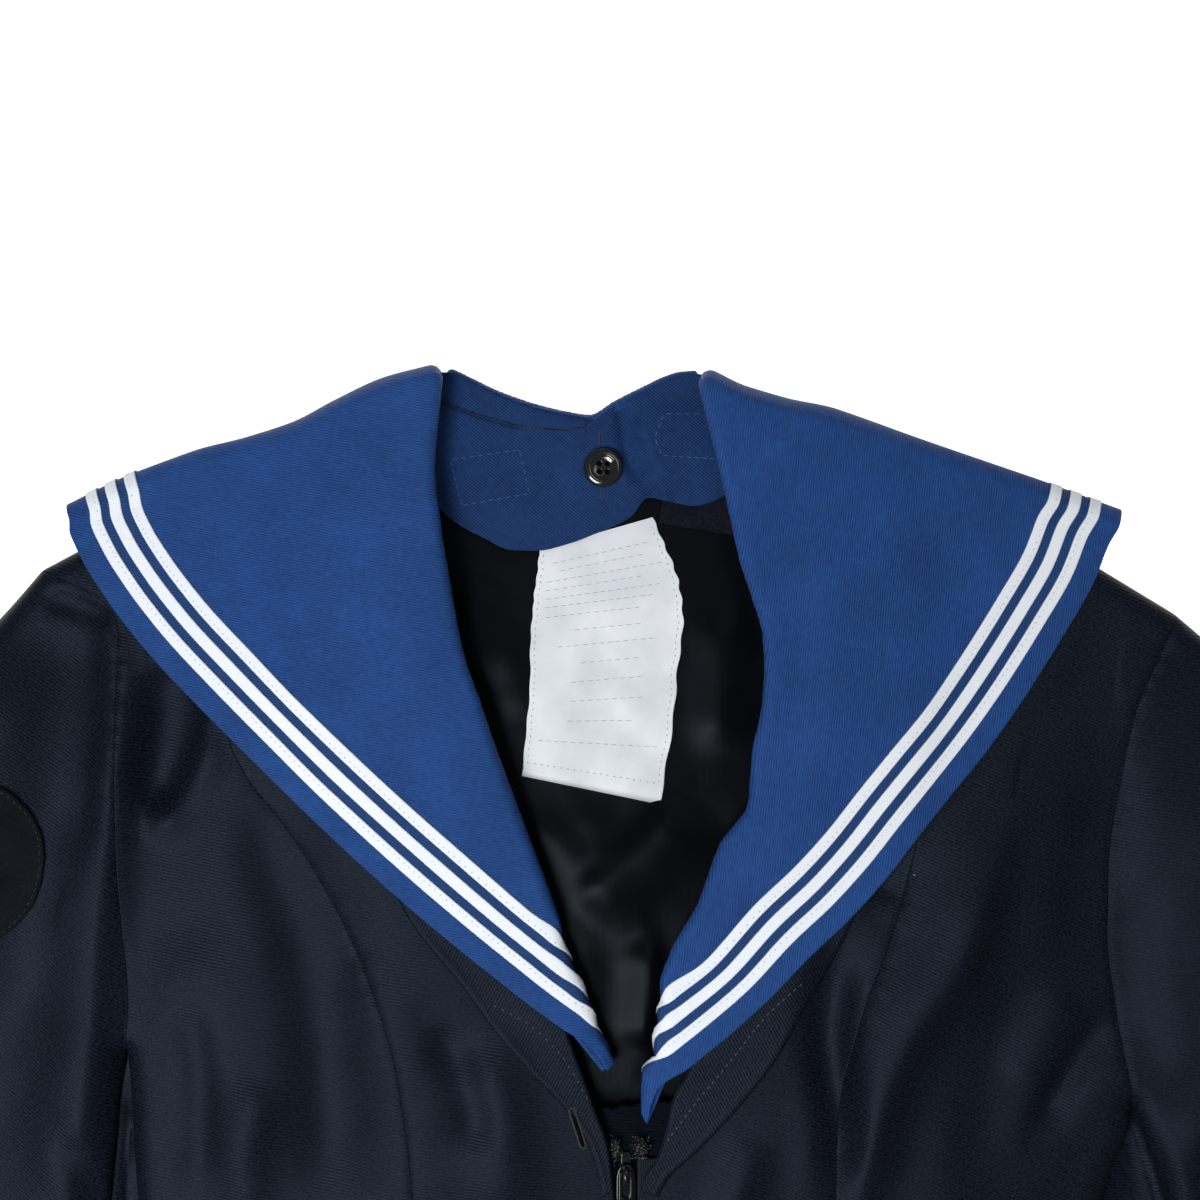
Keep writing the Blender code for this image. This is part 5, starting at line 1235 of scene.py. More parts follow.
class CollarSurface:
    """The collar's middle surface: stations give lines across it, and curves join them along it."""

    def __init__(self, step):
        """step is the distance between rows along the outer edge; every round corner has five."""
        self.stations = collar_stations()
        edge = np.array([station_points(s, [0.0])[0] for s in self.stations])
        run = run_along(edge)
        self.index = np.arange(len(run), dtype=float)
        self.run = run
        fine = []
        for k in range(len(run) - 1):
            count = max(int(round((run[k + 1] - run[k]) / step)), 2)
            if 15 <= k <= 20 or len(run) - 22 <= k <= len(run) - 17:
                count = 5
            fine.append(np.linspace(k, k + 1, count, endpoint=False))
        self.rows = np.concatenate(fine + [[len(run) - 1]])
        self.starts = curve(self.index, [s["start"] for s in self.stations], self.rows)
        self.radii = curve(self.index, [s["radius"] for s in self.stations], self.rows)

    def grid(self, columns, rows=None):
        """columns takes a station and gives its distances from the outer edge."""
        coarse = np.array([station_points(s, columns(s)) for s in self.stations])
        return curve(self.index, coarse, self.rows if rows is None else rows)

    def runs(self, rows):
        """Length run along the outer edge at the rows."""
        return np.interp(rows, self.index, self.run)


def collar_columns(station):
    """Distances from the outer edge: close at the border, even across the fall, round the roll, and turned in."""
    start, radius = station["start"], station["radius"]
    last = start + math.pi * radius + station["turn_in"]
    wanted = list(BORDER[:7]) + list(np.linspace(8.0, BAND, 12))
    wanted += list(BAND + (start - BAND) * np.linspace(0, 1, 44)[1:])
    wanted += list(start + math.pi * radius * np.linspace(0, 1, 13)[1:])
    wanted += list(start + math.pi * radius + station["turn_in"] * np.linspace(0, 1, 6)[1:])
    least, made = 0.03, [0.0]
    for k, value in enumerate(wanted[1:], 1):
        value = max(value, made[-1] + least)
        made.append(min(value, last - least * (len(wanted) - 1 - k)))
    return made


def pucker(runs, depth, length):
    """Small ripples that stitching draws into a cloth: a sine along it, whose length drifts."""
    phase = runs[:, None] * 2 * math.pi / length
    return depth * np.sin(phase + 1.3 * np.sin(phase * 0.37))


def collar():
    """The collar over its middle surface, rippled by its edge's stitching and marked where painted shade falls
    between the tapes.
    """
    surface = CollarSurface(2.6)
    middle = surface.grid(collar_columns)
    normal = grid_normals(middle)
    runs = surface.runs(surface.rows)
    reach = border_distance(middle)
    lift = pucker(runs, 0.10, 9.0) * smooth(1 - (reach - 28) / 20)
    middle = middle + normal * lift[..., None]
    upper, lower = wall(middle + normal * DRILL / 2, normal, DRILL)
    uv = collar_uv(middle, surface)
    piece = shell("collar_cloth", upper, lower, uv, finish_for("drill"), "blue_drill")
    # Marks the columns between the tapes, where the drill paints shade.
    across = np.array([collar_columns(station) for station in surface.stations]).mean(0)
    between = (across > TAPE_LINES[0] + TAPE_WIDTH / 2) & (across < TAPE_LINES[-1] - TAPE_WIDTH / 2)
    layer = piece.data.attributes.new("painted_shade_between_tapes", "FLOAT", "POINT")
    layer.data.foreach_set("value", np.tile(between.astype(np.float32), 2 * len(surface.rows)))
    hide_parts("collar")
    collar_tapes()


def collar_uv(middle, surface):
    """UV of the collar: level ribs on the right lapel, upright ones on the left, and a slow turn between."""
    turn = np.radians(np.interp(surface.rows, [16, 26, 32, 37], [-10, -10, 84, 84]))[:, None]
    x, y = middle[..., 0], middle[..., 1]
    return np.stack([x * np.cos(turn) + y * np.sin(turn), -x * np.sin(turn) + y * np.cos(turn)], -1) * MM


def collar_tapes():
    """Three tapes, each laid on the collar at its own distance from the edge, until it runs over the roll."""
    surface = CollarSurface(2.6)
    total = len(surface.stations) - 1
    tapes = []
    for number, name in enumerate(("outer", "middle", "inner")):
        near, far = TAPE_LINES[2 * number: 2 * number + 2]
        past_roll = near > surface.starts + TAPE_OVER_ROLL * surface.radii
        inside = (surface.rows > 0.3) & (surface.rows < total - 0.3) & ~past_roll
        rows = surface.rows[inside]
        across = near + (far - near) * np.array([0, 0.05, 0.15, 0.3, 0.5, 0.7, 0.85, 0.95, 1])

        def columns(station):
            room = station["start"] + math.pi * station["radius"] + station["turn_in"] - 0.3
            return np.minimum(across, room - (far - across) * 0.05)

        middle = surface.grid(columns, rows)
        normal = grid_normals(middle)
        runs = surface.runs(rows)
        base = DRILL / 2 + 0.02 + 0.08 * np.sin(runs * 2 * math.pi / 7.3)[:, None] * np.linspace(1, -1, 9) + 0.06
        outer = middle + normal * (base + FINE_TAPE)[..., None]
        upper, lower = wall(outer, normal, FINE_TAPE)
        share = (across - near) / (far - near)
        if number == 0:
            share = 1 - share
        uv = np.stack([np.repeat(share[None], len(rows), 0), np.repeat(runs[:, None] * MM, 9, 1)], -1)
        cloth = finish_for("tape_plain" if name == "middle" else "tape_stitched")
        piece = shell(f"collar_tape_{name}_cloth", upper, lower, uv, cloth, "white_tape")
        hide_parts(f"collar_tape_{name}")
        tapes.append(piece)
    return tapes


def yoke_level(points):
    """Height of the yoke's upper side: flat, with a fold beside the button and a lifted lower edge."""
    bumps = folds(points, [(-2.2, 6.0, 2.6, [(8, 78), (9, 66), (11, 55), (17, 43)]),
                           (1.9, 13.0, 5.0, [(20, 80), (18, 66), (22, 53), (27, 44)]),
                           (1.3, 6.0, 6.0, [(17, 42), (22, 38), (28, 36)]),
                           (1.2, 10.0, 10.0, [(-50, 60), (-40, 40), (-20, 26)]),
                           (-0.7, 8.0, 8.0, [(-12, 60), (-16, 44), (-10, 28)]),
                           (-0.4, 6.0, 6.0, [(24, 66), (30, 52), (36, 40)])])
    seam, near, _, _ = line_distance(points, YOKE_SEAM)
    above = smooth((points[:, 1] - near[:, 1]) / 1.2) * (points[:, 0] < -5)
    groove = 0.5 * above - 0.9 * np.exp(-((seam / 0.7) ** 2))
    over_fold = 0.45 * smooth((points[:, 1] - np.interp(points[:, 0], *np.array(YOKE)[:, :2].T) + 8) / 6)
    return YOKE_Z + DRILL + bumps + 0.12 * ripple(points, 26, 31) + groove + over_fold


def yoke():
    """The collar's inner piece: upright columns between its two edges."""
    table = np.array(YOKE, float)
    x = np.linspace(table[0, 0], table[-1, 0], 140)
    upper = np.stack([x, curve(table[:, 0], table[:, 1], x)], 1)
    lower = np.stack([x, curve(table[:, 0], table[:, 2], x)], 1)
    plan = ruled(upper, lower, shares_across(np.linalg.norm(upper - lower, axis=1), 0.8))
    # The yoke's drill is painted darker, as painted shade in the neck opening.
    level_piece("collar_yoke", yoke_level, plan, FINE_YOKE, -38, "drill_painted_shade", "blue_drill")


# ---- sewing


def resample(path, spacing):
    """Points at equal steps along a smooth curve through a path."""
    path = np.asarray(path, float)
    run = run_along(path)
    dense = curve(run, path, np.linspace(0, run[-1], max(int(run[-1] / 0.5), 8)))
    run = run_along(dense)
    count = max(int(run[-1] / spacing), 2)
    at = np.linspace(0, run[-1], count)
    return np.stack([np.interp(at, run, dense[:, k]) for k in range(dense.shape[1])], 1)


def capsules(name, centres, along, up, length, width, height, material, slot, body=GARMENT):
    """Many short rounded bars as one mesh: rings of six points, swollen in the middle, with both ends dipped."""
    along, up = unit(along), unit(up)
    side = unit(np.cross(along, up))
    up = np.cross(side, along)
    stations = np.array([-0.5, -0.42, -0.2, 0.0, 0.2, 0.42, 0.5])
    swell = np.array([0.25, 0.7, 1.0, 1.0, 1.0, 0.7, 0.25])
    angles = np.arange(6) * math.pi / 3
    ring = np.stack([np.cos(angles), np.sin(angles)], 1)
    length, width, height = (np.broadcast_to(np.asarray(v, float), (len(centres),)) for v in (length, width, height))
    axis = stations[None, :, None] * length[:, None, None]
    out = swell[None, :, None] * ring[None, None, :, 0] * width[:, None, None] / 2
    rise = swell[None, :, None] * ring[None, None, :, 1] * height[:, None, None] / 2
    rise = rise - (stations[None, :, None] * 2) ** 2 * height[:, None, None] * 0.45
    points = (centres[:, None, None] + axis[..., None] * along[:, None, None] + out[..., None] * side[:, None, None]
              + rise[..., None] * up[:, None, None])
    per = len(stations) * 6
    index = np.arange(per).reshape(len(stations), 6)
    after = np.roll(index, -1, 1)
    quads = np.stack([index[:-1], after[:-1], after[1:], index[1:]], -1).reshape(-1, 4)
    caps = [np.array([[r[0], r[1], r[2], r[3]], [r[0], r[3], r[4], r[5]]]) for r in (index[0][::-1], index[-1])]
    one = np.concatenate([quads] + caps)
    faces = (one[None] + (np.arange(len(centres)) * per)[:, None, None]).reshape(-1, 4)
    return add_mesh(name, points.reshape(-1, 3), faces, None, material, slot, body)


def sew(name, path, surface, length, gap, width, material, slot, sink=0.25, jitter=0.12, seed=5):
    """A row of stitches along a plan path on a surface, which gives points and normals from plan points."""
    spots = resample(path, length + gap)
    pick = np.random.default_rng(seed)
    direction = np.gradient(spots, axis=0)
    spots = spots + pick.normal(0, jitter, spots.shape) * 0.5
    points, normals = surface(spots)
    ahead, _ = surface(spots + unit(direction) * 0.5)
    size = length * pick.uniform(0.85, 1.1, len(spots))
    return capsules(name, points + normals * (width * (0.5 - sink)), ahead - points, normals, size, width,
                    width * 0.8, material, slot)


def on_revers(side):
    """Points and normals on a side's revers, for plan points."""
    def surface(spots):
        outer, normal = revers_surface(side, spots[:, None, :])
        return outer[:, 0], normal[:, 0]
    return surface


def on_level(level):
    """Points and normals on a height function, for plan points."""
    def surface(spots):
        return np.column_stack([spots, level(spots)]), level_normals(level, spots)
    return surface


def from_pixels(pixels, scale):
    """Points of the drawing from places in the photograph, whose middle is the drawing's origin."""
    return [((x - PHOTO_MIDDLE) * scale, (PHOTO_MIDDLE - y) * scale) for x, y in pixels]


def topstitching():
    """Pale stitches along both revers."""
    rows = {"right": [(495, 1006), (529, 1025), (559, 1053), (572, 1072), (587, 1098)],
            "left": [(800, 985), (767, 1016), (731, 1061), (694, 1106), (668, 1140)]}
    for side, pixels in rows.items():
        path = from_pixels(pixels, CLOTH_SCALE)
        length, gap = (1.0, 2.0) if side == "right" else (1.3, 1.35)
        sew(f"revers_{side}_stitches", path, on_revers(side), length, gap, 0.32, finish_for("thread_pale"),
            "wool_serge")


def yoke_stitches():
    """The yoke's seam, and blue stitches round the two patches behind it."""
    seam = resample(YOKE_SEAM, 1.1)
    points, normals = on_level(yoke_level)(seam)
    capsules("collar_yoke_seam", points + normals * 1.1, np.gradient(points, axis=0), normals, 1.6, 0.55, 0.4,
             finish_for("thread_seam"), "blue_drill")
    patches = [[(450, 459), (519, 449), (529, 493), (461, 505), (450, 459)],
               [(702, 413), (664, 413), (655, 437), (662, 455), (717, 458)]]
    for number, pixels in enumerate(patches):
        corners = np.array(from_pixels(pixels, YOKE_SCALE))
        spots = []
        for start, end in zip(corners[:-1], corners[1:]):
            count = max(int(np.linalg.norm(end - start) / 3.0), 2)
            spots.append(start + (end - start) * (np.arange(count)[:, None] / count))
        spots = np.concatenate(spots)
        direction = np.concatenate([np.diff(spots, axis=0), spots[-1:] - spots[-2:-1]])
        points, normals = on_level(yoke_level)(spots + direction * 0.5)
        capsules(f"collar_yoke_stitches_{number}", points + normals * 0.08,
                 np.column_stack([direction, np.zeros(len(direction))]), normals, 2.3, 0.32, 0.3,
                 finish_for("thread_blue"), "blue_drill")


def worked_hole(name, centre, along, length, width, surface, material, slot, spacing=0.55, bar=1.9):
    """A worked buttonhole: close stitches square to a slit all the way round it, and a dark lens in the slit, painted
    shade.
    """
    along = unit(np.array(along, float))
    side = np.array([-along[1], along[0]])
    straight = length - width
    arc = math.pi * width / 2
    at = np.arange(0, 2 * (straight + arc), spacing)
    far_half = at >= straight + arc
    at = np.where(far_half, at - straight - arc, at)
    turn = np.clip((at - straight) / (width / 2), 0, math.pi)
    mirror = np.where(far_half, -1, 1)[:, None]
    out = mirror * (np.cos(turn)[:, None] * side + np.sin(turn)[:, None] * along)
    spots = mirror * (np.minimum(at, straight) - straight / 2)[:, None] * along + out * width / 2 + centre
    points, normals = surface(spots)
    ahead, _ = surface(spots + out * 0.5)
    capsules(f"{name}_thread", points + normals * 0.12, ahead - points, normals, bar, spacing * 1.05, 0.55,
             material, slot)
    # The slit: a dark lens, painted shade where the slit opens.
    turns = np.linspace(0, 2 * math.pi, 33)[:-1]
    inner = width / 2 - 0.1
    ring = np.array([along * (math.copysign(straight / 2, math.cos(t)) * min(1, 3 * abs(math.cos(t))) + inner
                              * math.cos(t)) + side * inner * math.sin(t) for t in turns]) + centre
    rim, normals = surface(ring)
    middle, up = surface(np.array([centre], float))
    lens = np.concatenate([rim + normals * 0.05, middle + up * 0.1, rim - normals * 0.25, middle - up * 0.25])
    count = len(turns)
    around = np.arange(count)
    after = (around + 1) % count
    top = np.stack([around, after, np.full(count, count)], 1)
    bottom = np.stack([after, around, np.full(count, count)], 1) + count + 1
    rimming = np.stack([after, around, around + count + 1, after + count + 1], 1)
    add_mesh(f"{name}_slit", lens, [np.concatenate([top, bottom]), rimming], None, finish_for("painted_shade_black"), slot)


# ---- small pieces


def label_level(points):
    """The label follows the lining, with small waves of its own at its edges."""
    return lining_level(points) * 0.35 + (BACK_LIFT + WOOL + 1.6) * 0.65 + 0.45 + 0.12 * ripple(points, 14, 41)


def label():
    """A bare satin label sewn on the lining, with dots of thread near its edges."""
    table = np.array(LABEL, float)
    rows = np.linspace(0, 1, 70)
    place = np.linspace(0, 1, len(table))
    right, left = curve(place, table[:, :2], rows), curve(place, table[:, 2:], rows)
    waver = 0.35 * np.sin(rows * 60) + 0.25 * np.sin(rows * 23 + 1)
    left[:, 0] += waver
    right[:, 0] += 0.5 * waver[::-1]
    plan = ruled(right, left, shares_across(np.linalg.norm(left - right, axis=1), 1.3))
    level_piece("label", label_level, plan, FINE_LABEL, 4, "satin_white", "label_satin")
    corners = np.concatenate([right[3:-3] + [1.7, 0], right[-4:-3] * [1, 1] + [1.7, 0], left[-4:-3] - [2.0, 0],
                              left[-4:3:-1] - [2.0, 0]])
    ends = [(0.14, 0.86), (0.2, 0.8), (0.1, 0.9), (0.1, 0.75), (0.1, 0.85), (0.1, 0.8), (0.1, 0.7), (0.3, 0.7),
            (0.2, 0.8), (0.35, 0.7), (0.3, 0.75), (0.3, 0.75), (0.3, 0.7), (0.1, 0.9)]
    spots, along = [], []
    for number, (start, end) in enumerate(ends):
        row = 8 + int(number * 58 / len(ends))
        line = right[row] + np.array([[start], [end]]) * (left[row] - right[row])
        spots.append(resample(line, 2.8))
        along.append(np.tile(np.append(line[1] - line[0], 0), (len(spots[-1]), 1)))
    points, normals = on_level(label_level)(np.concatenate(spots))
    capsules("label_rules", points - normals * 0.03, np.concatenate(along), normals, 3.1, 0.28, 0.22,
             finish_for("thread_label"), "label_satin")
    sew("label_stitches", corners, on_level(label_level), 0.8, 1.75, 0.34, finish_for("thread_label"), "label_satin")


def hook_tape():
    """Loop pile: a patch whose grid points stand up at random heights."""
    turn = math.radians(HOOK_TURN)
    along = np.array([math.cos(turn), math.sin(turn)])
    over = np.array([-along[1], along[0]])
    u, v = np.linspace(-0.5, 0.5, 86), np.linspace(0.5, -0.5, 46)
    plan = (np.array(HOOK_CENTRE) + u[None, :, None] * HOOK_SIZE[0] * along + v[:, None, None] * HOOK_SIZE[1] * over)
    base = BACK_LIFT + WOOL + LAY_GAP + SATIN + LAY_GAP
    pile = np.random.default_rng(8).uniform(0, 1, plan.shape[:2]) ** 2
    z = base + 0.55 + 0.5 * pile
    outer = np.concatenate([plan, z[..., None]], 2)
    low = np.concatenate([plan, np.full(plan.shape[:2] + (1,), base)], 2)
    lay_piece("hook_tape", (outer, low), plan * MM, "loops_black", "black_nylon")


def ring_faces(rings, segments):
    """Quads between closed rings of points, and triangles from the first and the last ring to the two points that
    follow them all."""
    index = np.arange(rings * segments).reshape(rings, segments)
    after = np.roll(index, -1, 1)
    quads = np.stack([index[:-1], after[:-1], after[1:], index[1:]], -1).reshape(-1, 4)
    first, last = np.full(segments, rings * segments), np.full(segments, rings * segments + 1)
    return [quads, np.concatenate([np.stack([after[0], index[0], first], 1),
                                   np.stack([index[-1], after[-1], last], 1)])]


def lathe(profile, centre, segments):
    """Points and faces of a profile of (radius, z) turned about an upright axis. Its ends lie on the axis."""
    profile = np.array(profile, float)
    turns = np.arange(segments) * 2 * math.pi / segments
    rings = profile[1:-1]
    body = np.stack([centre[0] + rings[:, :1] * np.cos(turns), centre[1] + rings[:, :1] * np.sin(turns),
                     rings[:, 1:] + 0 * turns], -1)
    points = np.concatenate([body.reshape(-1, 3), [[*centre, profile[0, 1]], [*centre, profile[-1, 1]]]])
    return points, ring_faces(len(rings), segments)


def button():
    """A dished button with a round rim: rings about the centre, pushed down inside four eyes."""
    low = YOKE_Z + DRILL + LAY_GAP
    radius = 7.5
    rim = [(radius * math.sin(a), low + 1.5 - 1.5 * math.cos(a)) for a in np.linspace(0.4, 2.4, 10)]
    rings = [(0, low), (radius - 1.5, low)] + rim
    dish = [(r, low + 1.75 + 1.1 * (r / 5.4) ** 4) for r in np.linspace(rim[-1][0] - 0.25, 0.35, 26)]
    profile = rings + dish + [(0, low + 1.75)]
    points, faces = lathe(profile, BUTTON_CENTRE, 72)
    eyes = np.array(BUTTON_CENTRE) + 1.55 * np.array([(1, 0.9), (-1, 1), (-0.9, -1), (1, -1.1)])
    for eye in eyes:
        gap = np.linalg.norm(points[:, :2] - eye, axis=1)
        top = points[:, 2] > low + 1.2
        points[:, 2] -= np.where(top & (gap < 1.2), 1.2 * (1 - smooth((gap - 0.75) / 0.35)), 0)
    piece = add_mesh("neck_button_shaped", points, faces, None, finish_for("plastic_black"), "black_plastic")
    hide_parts("neck_button")
    # Dark discs deep in the four eyes: painted shade in the holes.
    floor = low + 1.25
    shade_discs = [lathe([(0, floor), (0.95, floor), (0.95, floor + 0.1), (0, floor + 0.1)], eye, 20) for eye in eyes]
    add_mesh("neck_button_eye_shade", *joined(shade_discs), None, finish_for("painted_shade_black"), "black_plastic")


def badge():
    """A bare felt disc on the sleeve: rings of points over the sleeve's skin, round at the rim."""
    radii = np.concatenate([[0.02], np.linspace(1.5, BADGE_RADIUS - 3.0, 26), BADGE_RADIUS - np.array(BORDER)[4::-1]])
    turns = np.linspace(0, 2 * math.pi, 145)
    wobble = 1 + 0.004 * np.sin(turns * 9) + 0.003 * np.sin(turns * 23 + 1)
    circle = np.stack([np.cos(turns), np.sin(turns)], -1) * wobble[:, None]
    plan = BADGE_CENTRE + radii[:, None, None] * circle
    outer, normal = skin(plan, True, "right", np.zeros(plan.shape[:2], bool), ("outer",))
    hair = np.random.default_rng(2).normal(0, 0.05, plan.shape[:2])
    hair[:, -1] = hair[:, 0]
    hair[0] = 0
    outer = outer + normal * (0.6 + WOOL + hair)[..., None]
    half = WOOL / 2
    close = np.minimum((BADGE_RADIUS - radii)[:, None], half)
    drop = 0.94 * (half - np.sqrt(np.maximum(half**2 - (half - close) ** 2, 0)))
    upper, lower = outer - normal * drop[..., None], outer - normal * (WOOL - drop)[..., None]
    rings = np.concatenate([upper, lower[::-1]])[:, :-1]
    points = np.concatenate([rings.reshape(-1, 3), rings[:1].mean(1), rings[-1:].mean(1)])
    flat = np.concatenate([plan, plan[::-1]])[:, :-1].reshape(-1, 2)
    uv = np.concatenate([flat, [BADGE_CENTRE], [BADGE_CENTRE]]) * MM
    piece = add_mesh("arm_badge_cloth", points, ring_faces(*rings.shape[:2]), uv, finish_for("felt_black"),
                     "black_felt")
    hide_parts("arm_badge")
    ring = BADGE_CENTRE + (BADGE_RADIUS - 1.6) * np.stack([np.cos(turns[:-1]), np.sin(turns[:-1])], -1)
    spot, up = skin(ring[:, None], True, "right", np.zeros((len(ring), 1), bool), ("outer",))
    spot, up = spot[:, 0], up[:, 0]
    direction = np.roll(ring, -1, 0) - ring
    capsules("arm_badge_stitches", (spot + up * (0.6 + WOOL - 0.05))[::2],
             np.column_stack([direction, np.zeros(len(direction))])[::2], up[::2], 1.9, 0.35, 0.3,
             finish_for("thread_navy"), "black_felt")


def plate(outline, low, high, bevel, hole=None):
    """Points and faces of a plate with rounded edges. Rings of points run over its section: with no hole from the
    middle of its underside to the middle of its top, and with one right round the bar between hole and outline."""
    outline = np.array(outline, float)
    count = len(outline)

    def ring(line, inset, z):
        return np.column_stack([shifted_ring(line, inset), np.full(count, z)])

    quarter = np.linspace(0, math.pi / 2, 4)
    lower = [(bevel + 0.1, low)] + [(bevel * (1 - math.sin(a)), low + bevel * (1 - math.cos(a))) for a in quarter]
    upper = [(inset, low + high - z) for inset, z in lower[::-1]]
    rings = [ring(outline, inset, z) for inset, z in lower + upper]
    if hole is None:
        centre = outline.mean(0)
        points = np.concatenate([np.concatenate(rings), [[*centre, low], [*centre, high]]])
        return points, ring_faces(len(rings), count)
    hole = np.array(hole, float)
    rings += [ring(hole, -inset, z) for inset, z in lower + upper][::-1]
    points = np.concatenate(rings)
    index = np.arange(len(rings) * count).reshape(len(rings), count)
    after, above = np.roll(index, -1, 1), np.roll(index, -1, 0)
    above_after = np.roll(above, -1, 1)
    return points, [np.stack([index, after, above_after, above], -1).reshape(-1, 4)]


def shifted_ring(line, inset):
    """A closed outline, counter-clockwise, moved in by an inset."""
    before, after = unit(line - np.roll(line, 1, 0)), unit(np.roll(line, -1, 0) - line)
    normal = [np.stack([-v[:, 1], v[:, 0]], 1) for v in (before, after)]
    middle = unit(normal[0] + normal[1])
    return line + inset * middle / np.maximum((middle * normal[1]).sum(1), 0.6)[:, None]


def round_box_outline(x0, x1, y0, y1, radius, steps=5):
    """A rectangle with round corners, counter-clockwise from its lower left."""
    centres = [(x1 - radius, y0 + radius, -90), (x1 - radius, y1 - radius, 0), (x0 + radius, y1 - radius, 90),
               (x0 + radius, y0 + radius, 180)]
    return [(cx + radius * math.cos(math.radians(start + 90 * k / steps)),
             cy + radius * math.sin(math.radians(start + 90 * k / steps)))
            for cx, cy, start in centres for k in range(steps + 1)]


def joined(parts):
    """Points and faces of several meshes as one."""
    points, faces, start = [], [], 0
    for some, lists in parts:
        points.append(some)
        faces += [f + start for f in lists]
        start += len(some)
    quads = [f for f in faces if f.shape[1] == 4]
    triangles = [f for f in faces if f.shape[1] == 3]
    return np.concatenate(points), [np.concatenate(f) for f in (quads, triangles) if f]


def zip_slider():
    """The slider: a waisted body between two wings, and the bridge that carries the pull."""
    low, high = CHAIN_Z[0], CHAIN_Z[0] + 4.1
    top, bottom = SLIDER_TOP_Y, SLIDER_TOP_Y - 14.0
    body = [(ZIP_X - 3.6, bottom), (ZIP_X + 3.6, bottom), (ZIP_X + 3.8, bottom + 1), (ZIP_X + 3.75, bottom + 9),
            (ZIP_X + 3.3, top - 2.4), (ZIP_X + 2.2, top - 0.6), (ZIP_X + 1.2, top), (ZIP_X - 1.2, top),
            (ZIP_X - 2.2, top - 0.6), (ZIP_X - 3.3, top - 2.4), (ZIP_X - 3.75, bottom + 9), (ZIP_X - 3.8, bottom + 1)]
    parts = [plate(body, low, low + 1.3, 0.4), plate(body, high - 1.3, high, 0.5)]
    waist = [(ZIP_X + 1.4 * x, y) for x, y in ((-1, top - 6), (1, top - 6), (0.7, top - 1.5), (-0.7, top - 1.5))]
    parts.append(plate(waist, low + 1.25, high - 1.25, 0.02))
    nose = round_box_outline(ZIP_X - 1.9, ZIP_X + 1.9, top - 2.0, top + 4.2, 1.0)
    parts.append(plate(nose, low + 0.3, low + 1.6, 0.35))
    bridge = np.linspace(0, math.pi, 15)
    middle_y, reach, rise = top - 4.4, 3.6, 2.9
    path = np.column_stack([np.full(15, ZIP_X), middle_y + reach * np.cos(bridge),
                            high - 0.3 + (rise - 0.15) * np.sin(bridge) ** 0.6])
    parts.append(swept(path, 0.8, 0.42, np.array([1.0, 0, 0])))
    points, faces = joined(parts)
    piece = add_mesh("zip_slider_shaped", points, faces, None, finish_for("enamel_black"), "black_metal")
    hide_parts("zip_slider")


def swept(path, half_width, half_height, across):
    """A bar with a rounded section swept along a path, its width along the given direction."""
    path = np.asarray(path, float)
    along = unit(np.gradient(path, axis=0))
    side = unit(np.broadcast_to(across, path.shape))
    up = unit(np.cross(along, side))
    turns = np.arange(BAR_SIDES) * 2 * math.pi / BAR_SIDES
    section = [np.sign(np.cos(turns)) * np.abs(np.cos(turns)) ** 0.7 * half_width,
               np.sign(np.sin(turns)) * np.abs(np.sin(turns)) ** 0.7 * half_height]
    rings = (path[:, None] + section[0][None, :, None] * side[:, None] + section[1][None, :, None] * up[:, None])
    points = np.concatenate([rings.reshape(-1, 3), path[:1], path[-1:]])
    return points, ring_faces(len(path), BAR_SIDES)


def zip_pull():
    """The pull: a flat tab with a long slot at its upper end, which turns about the slot's top bar."""
    (x0, y0, z0), (x1, y1, z1) = node_box("zip_pull")
    outline = round_box_outline(x0, x1, y0, y1, 1.2)
    slot = round_box_outline(x0 + 1.1, x1 - 1.1, y1 - 10.5, y1 - 1.2, 2.0)
    points, faces = plate(outline, z0, z1, 0.26, slot)
    piece = add_mesh("zip_pull_shaped", points, faces, None, finish_for("enamel_black"), "black_metal", PULL)
    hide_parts("zip_pull")


def zip_teeth():
    """Moulded teeth: rounded bars laid across the chain, left and right in turn, over a thin core."""
    y = np.arange(SLIDER_TOP_Y - 15.4, HEM_Y + 4, -TOOTH_PITCH)
    away = np.where(np.arange(len(y)) % 2, 1, -1)
    centres = np.column_stack([ZIP_X + away * 1.3, y, np.full(len(y), sum(CHAIN_Z) / 2)])
    across, up = np.tile([1.0, 0, 0], (len(y), 1)), np.tile([0, 0, 1.0], (len(y), 1))
    piece = capsules("zip_chain_shaped", centres, across, up, 4.6, 1.35, 1.9, finish_for("nylon_black"),
                     "black_nylon")
    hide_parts("zip_chain")


def zip_tapes():
    """The zip's two woven tapes, flat beside the chain, and their frayed upper ends."""
    for side, away in (("right", -1), ("left", 1)):
        near = ZIP_X + away * (CHAIN_WIDTH / 2 + 0.4)
        far = near + away * ZIP_TAPE_WIDTH
        x = np.linspace(*sorted((near, far)), 16)
        top = ZIP_TOP_Y - 7
        y = np.concatenate([top - np.array(BORDER)[:5], np.linspace(top - 4, HEM_Y + 3, 90)])
        plan = np.stack(np.broadcast_arrays(x[None, :], y[:, None]), -1)
        outer = np.concatenate([plan, np.full(plan.shape[:2] + (1,), ZIP_TAPE_Z[1])], 2)
        normal = np.zeros_like(outer)
        normal[..., 2] = 1
        lay_piece(f"zip_tape_{side}", wall(outer, normal, ZIP_TAPE_Z[1] - ZIP_TAPE_Z[0]), turned_uv(plan, 90),
                  "nylon_black", "black_nylon")
        fray(side)


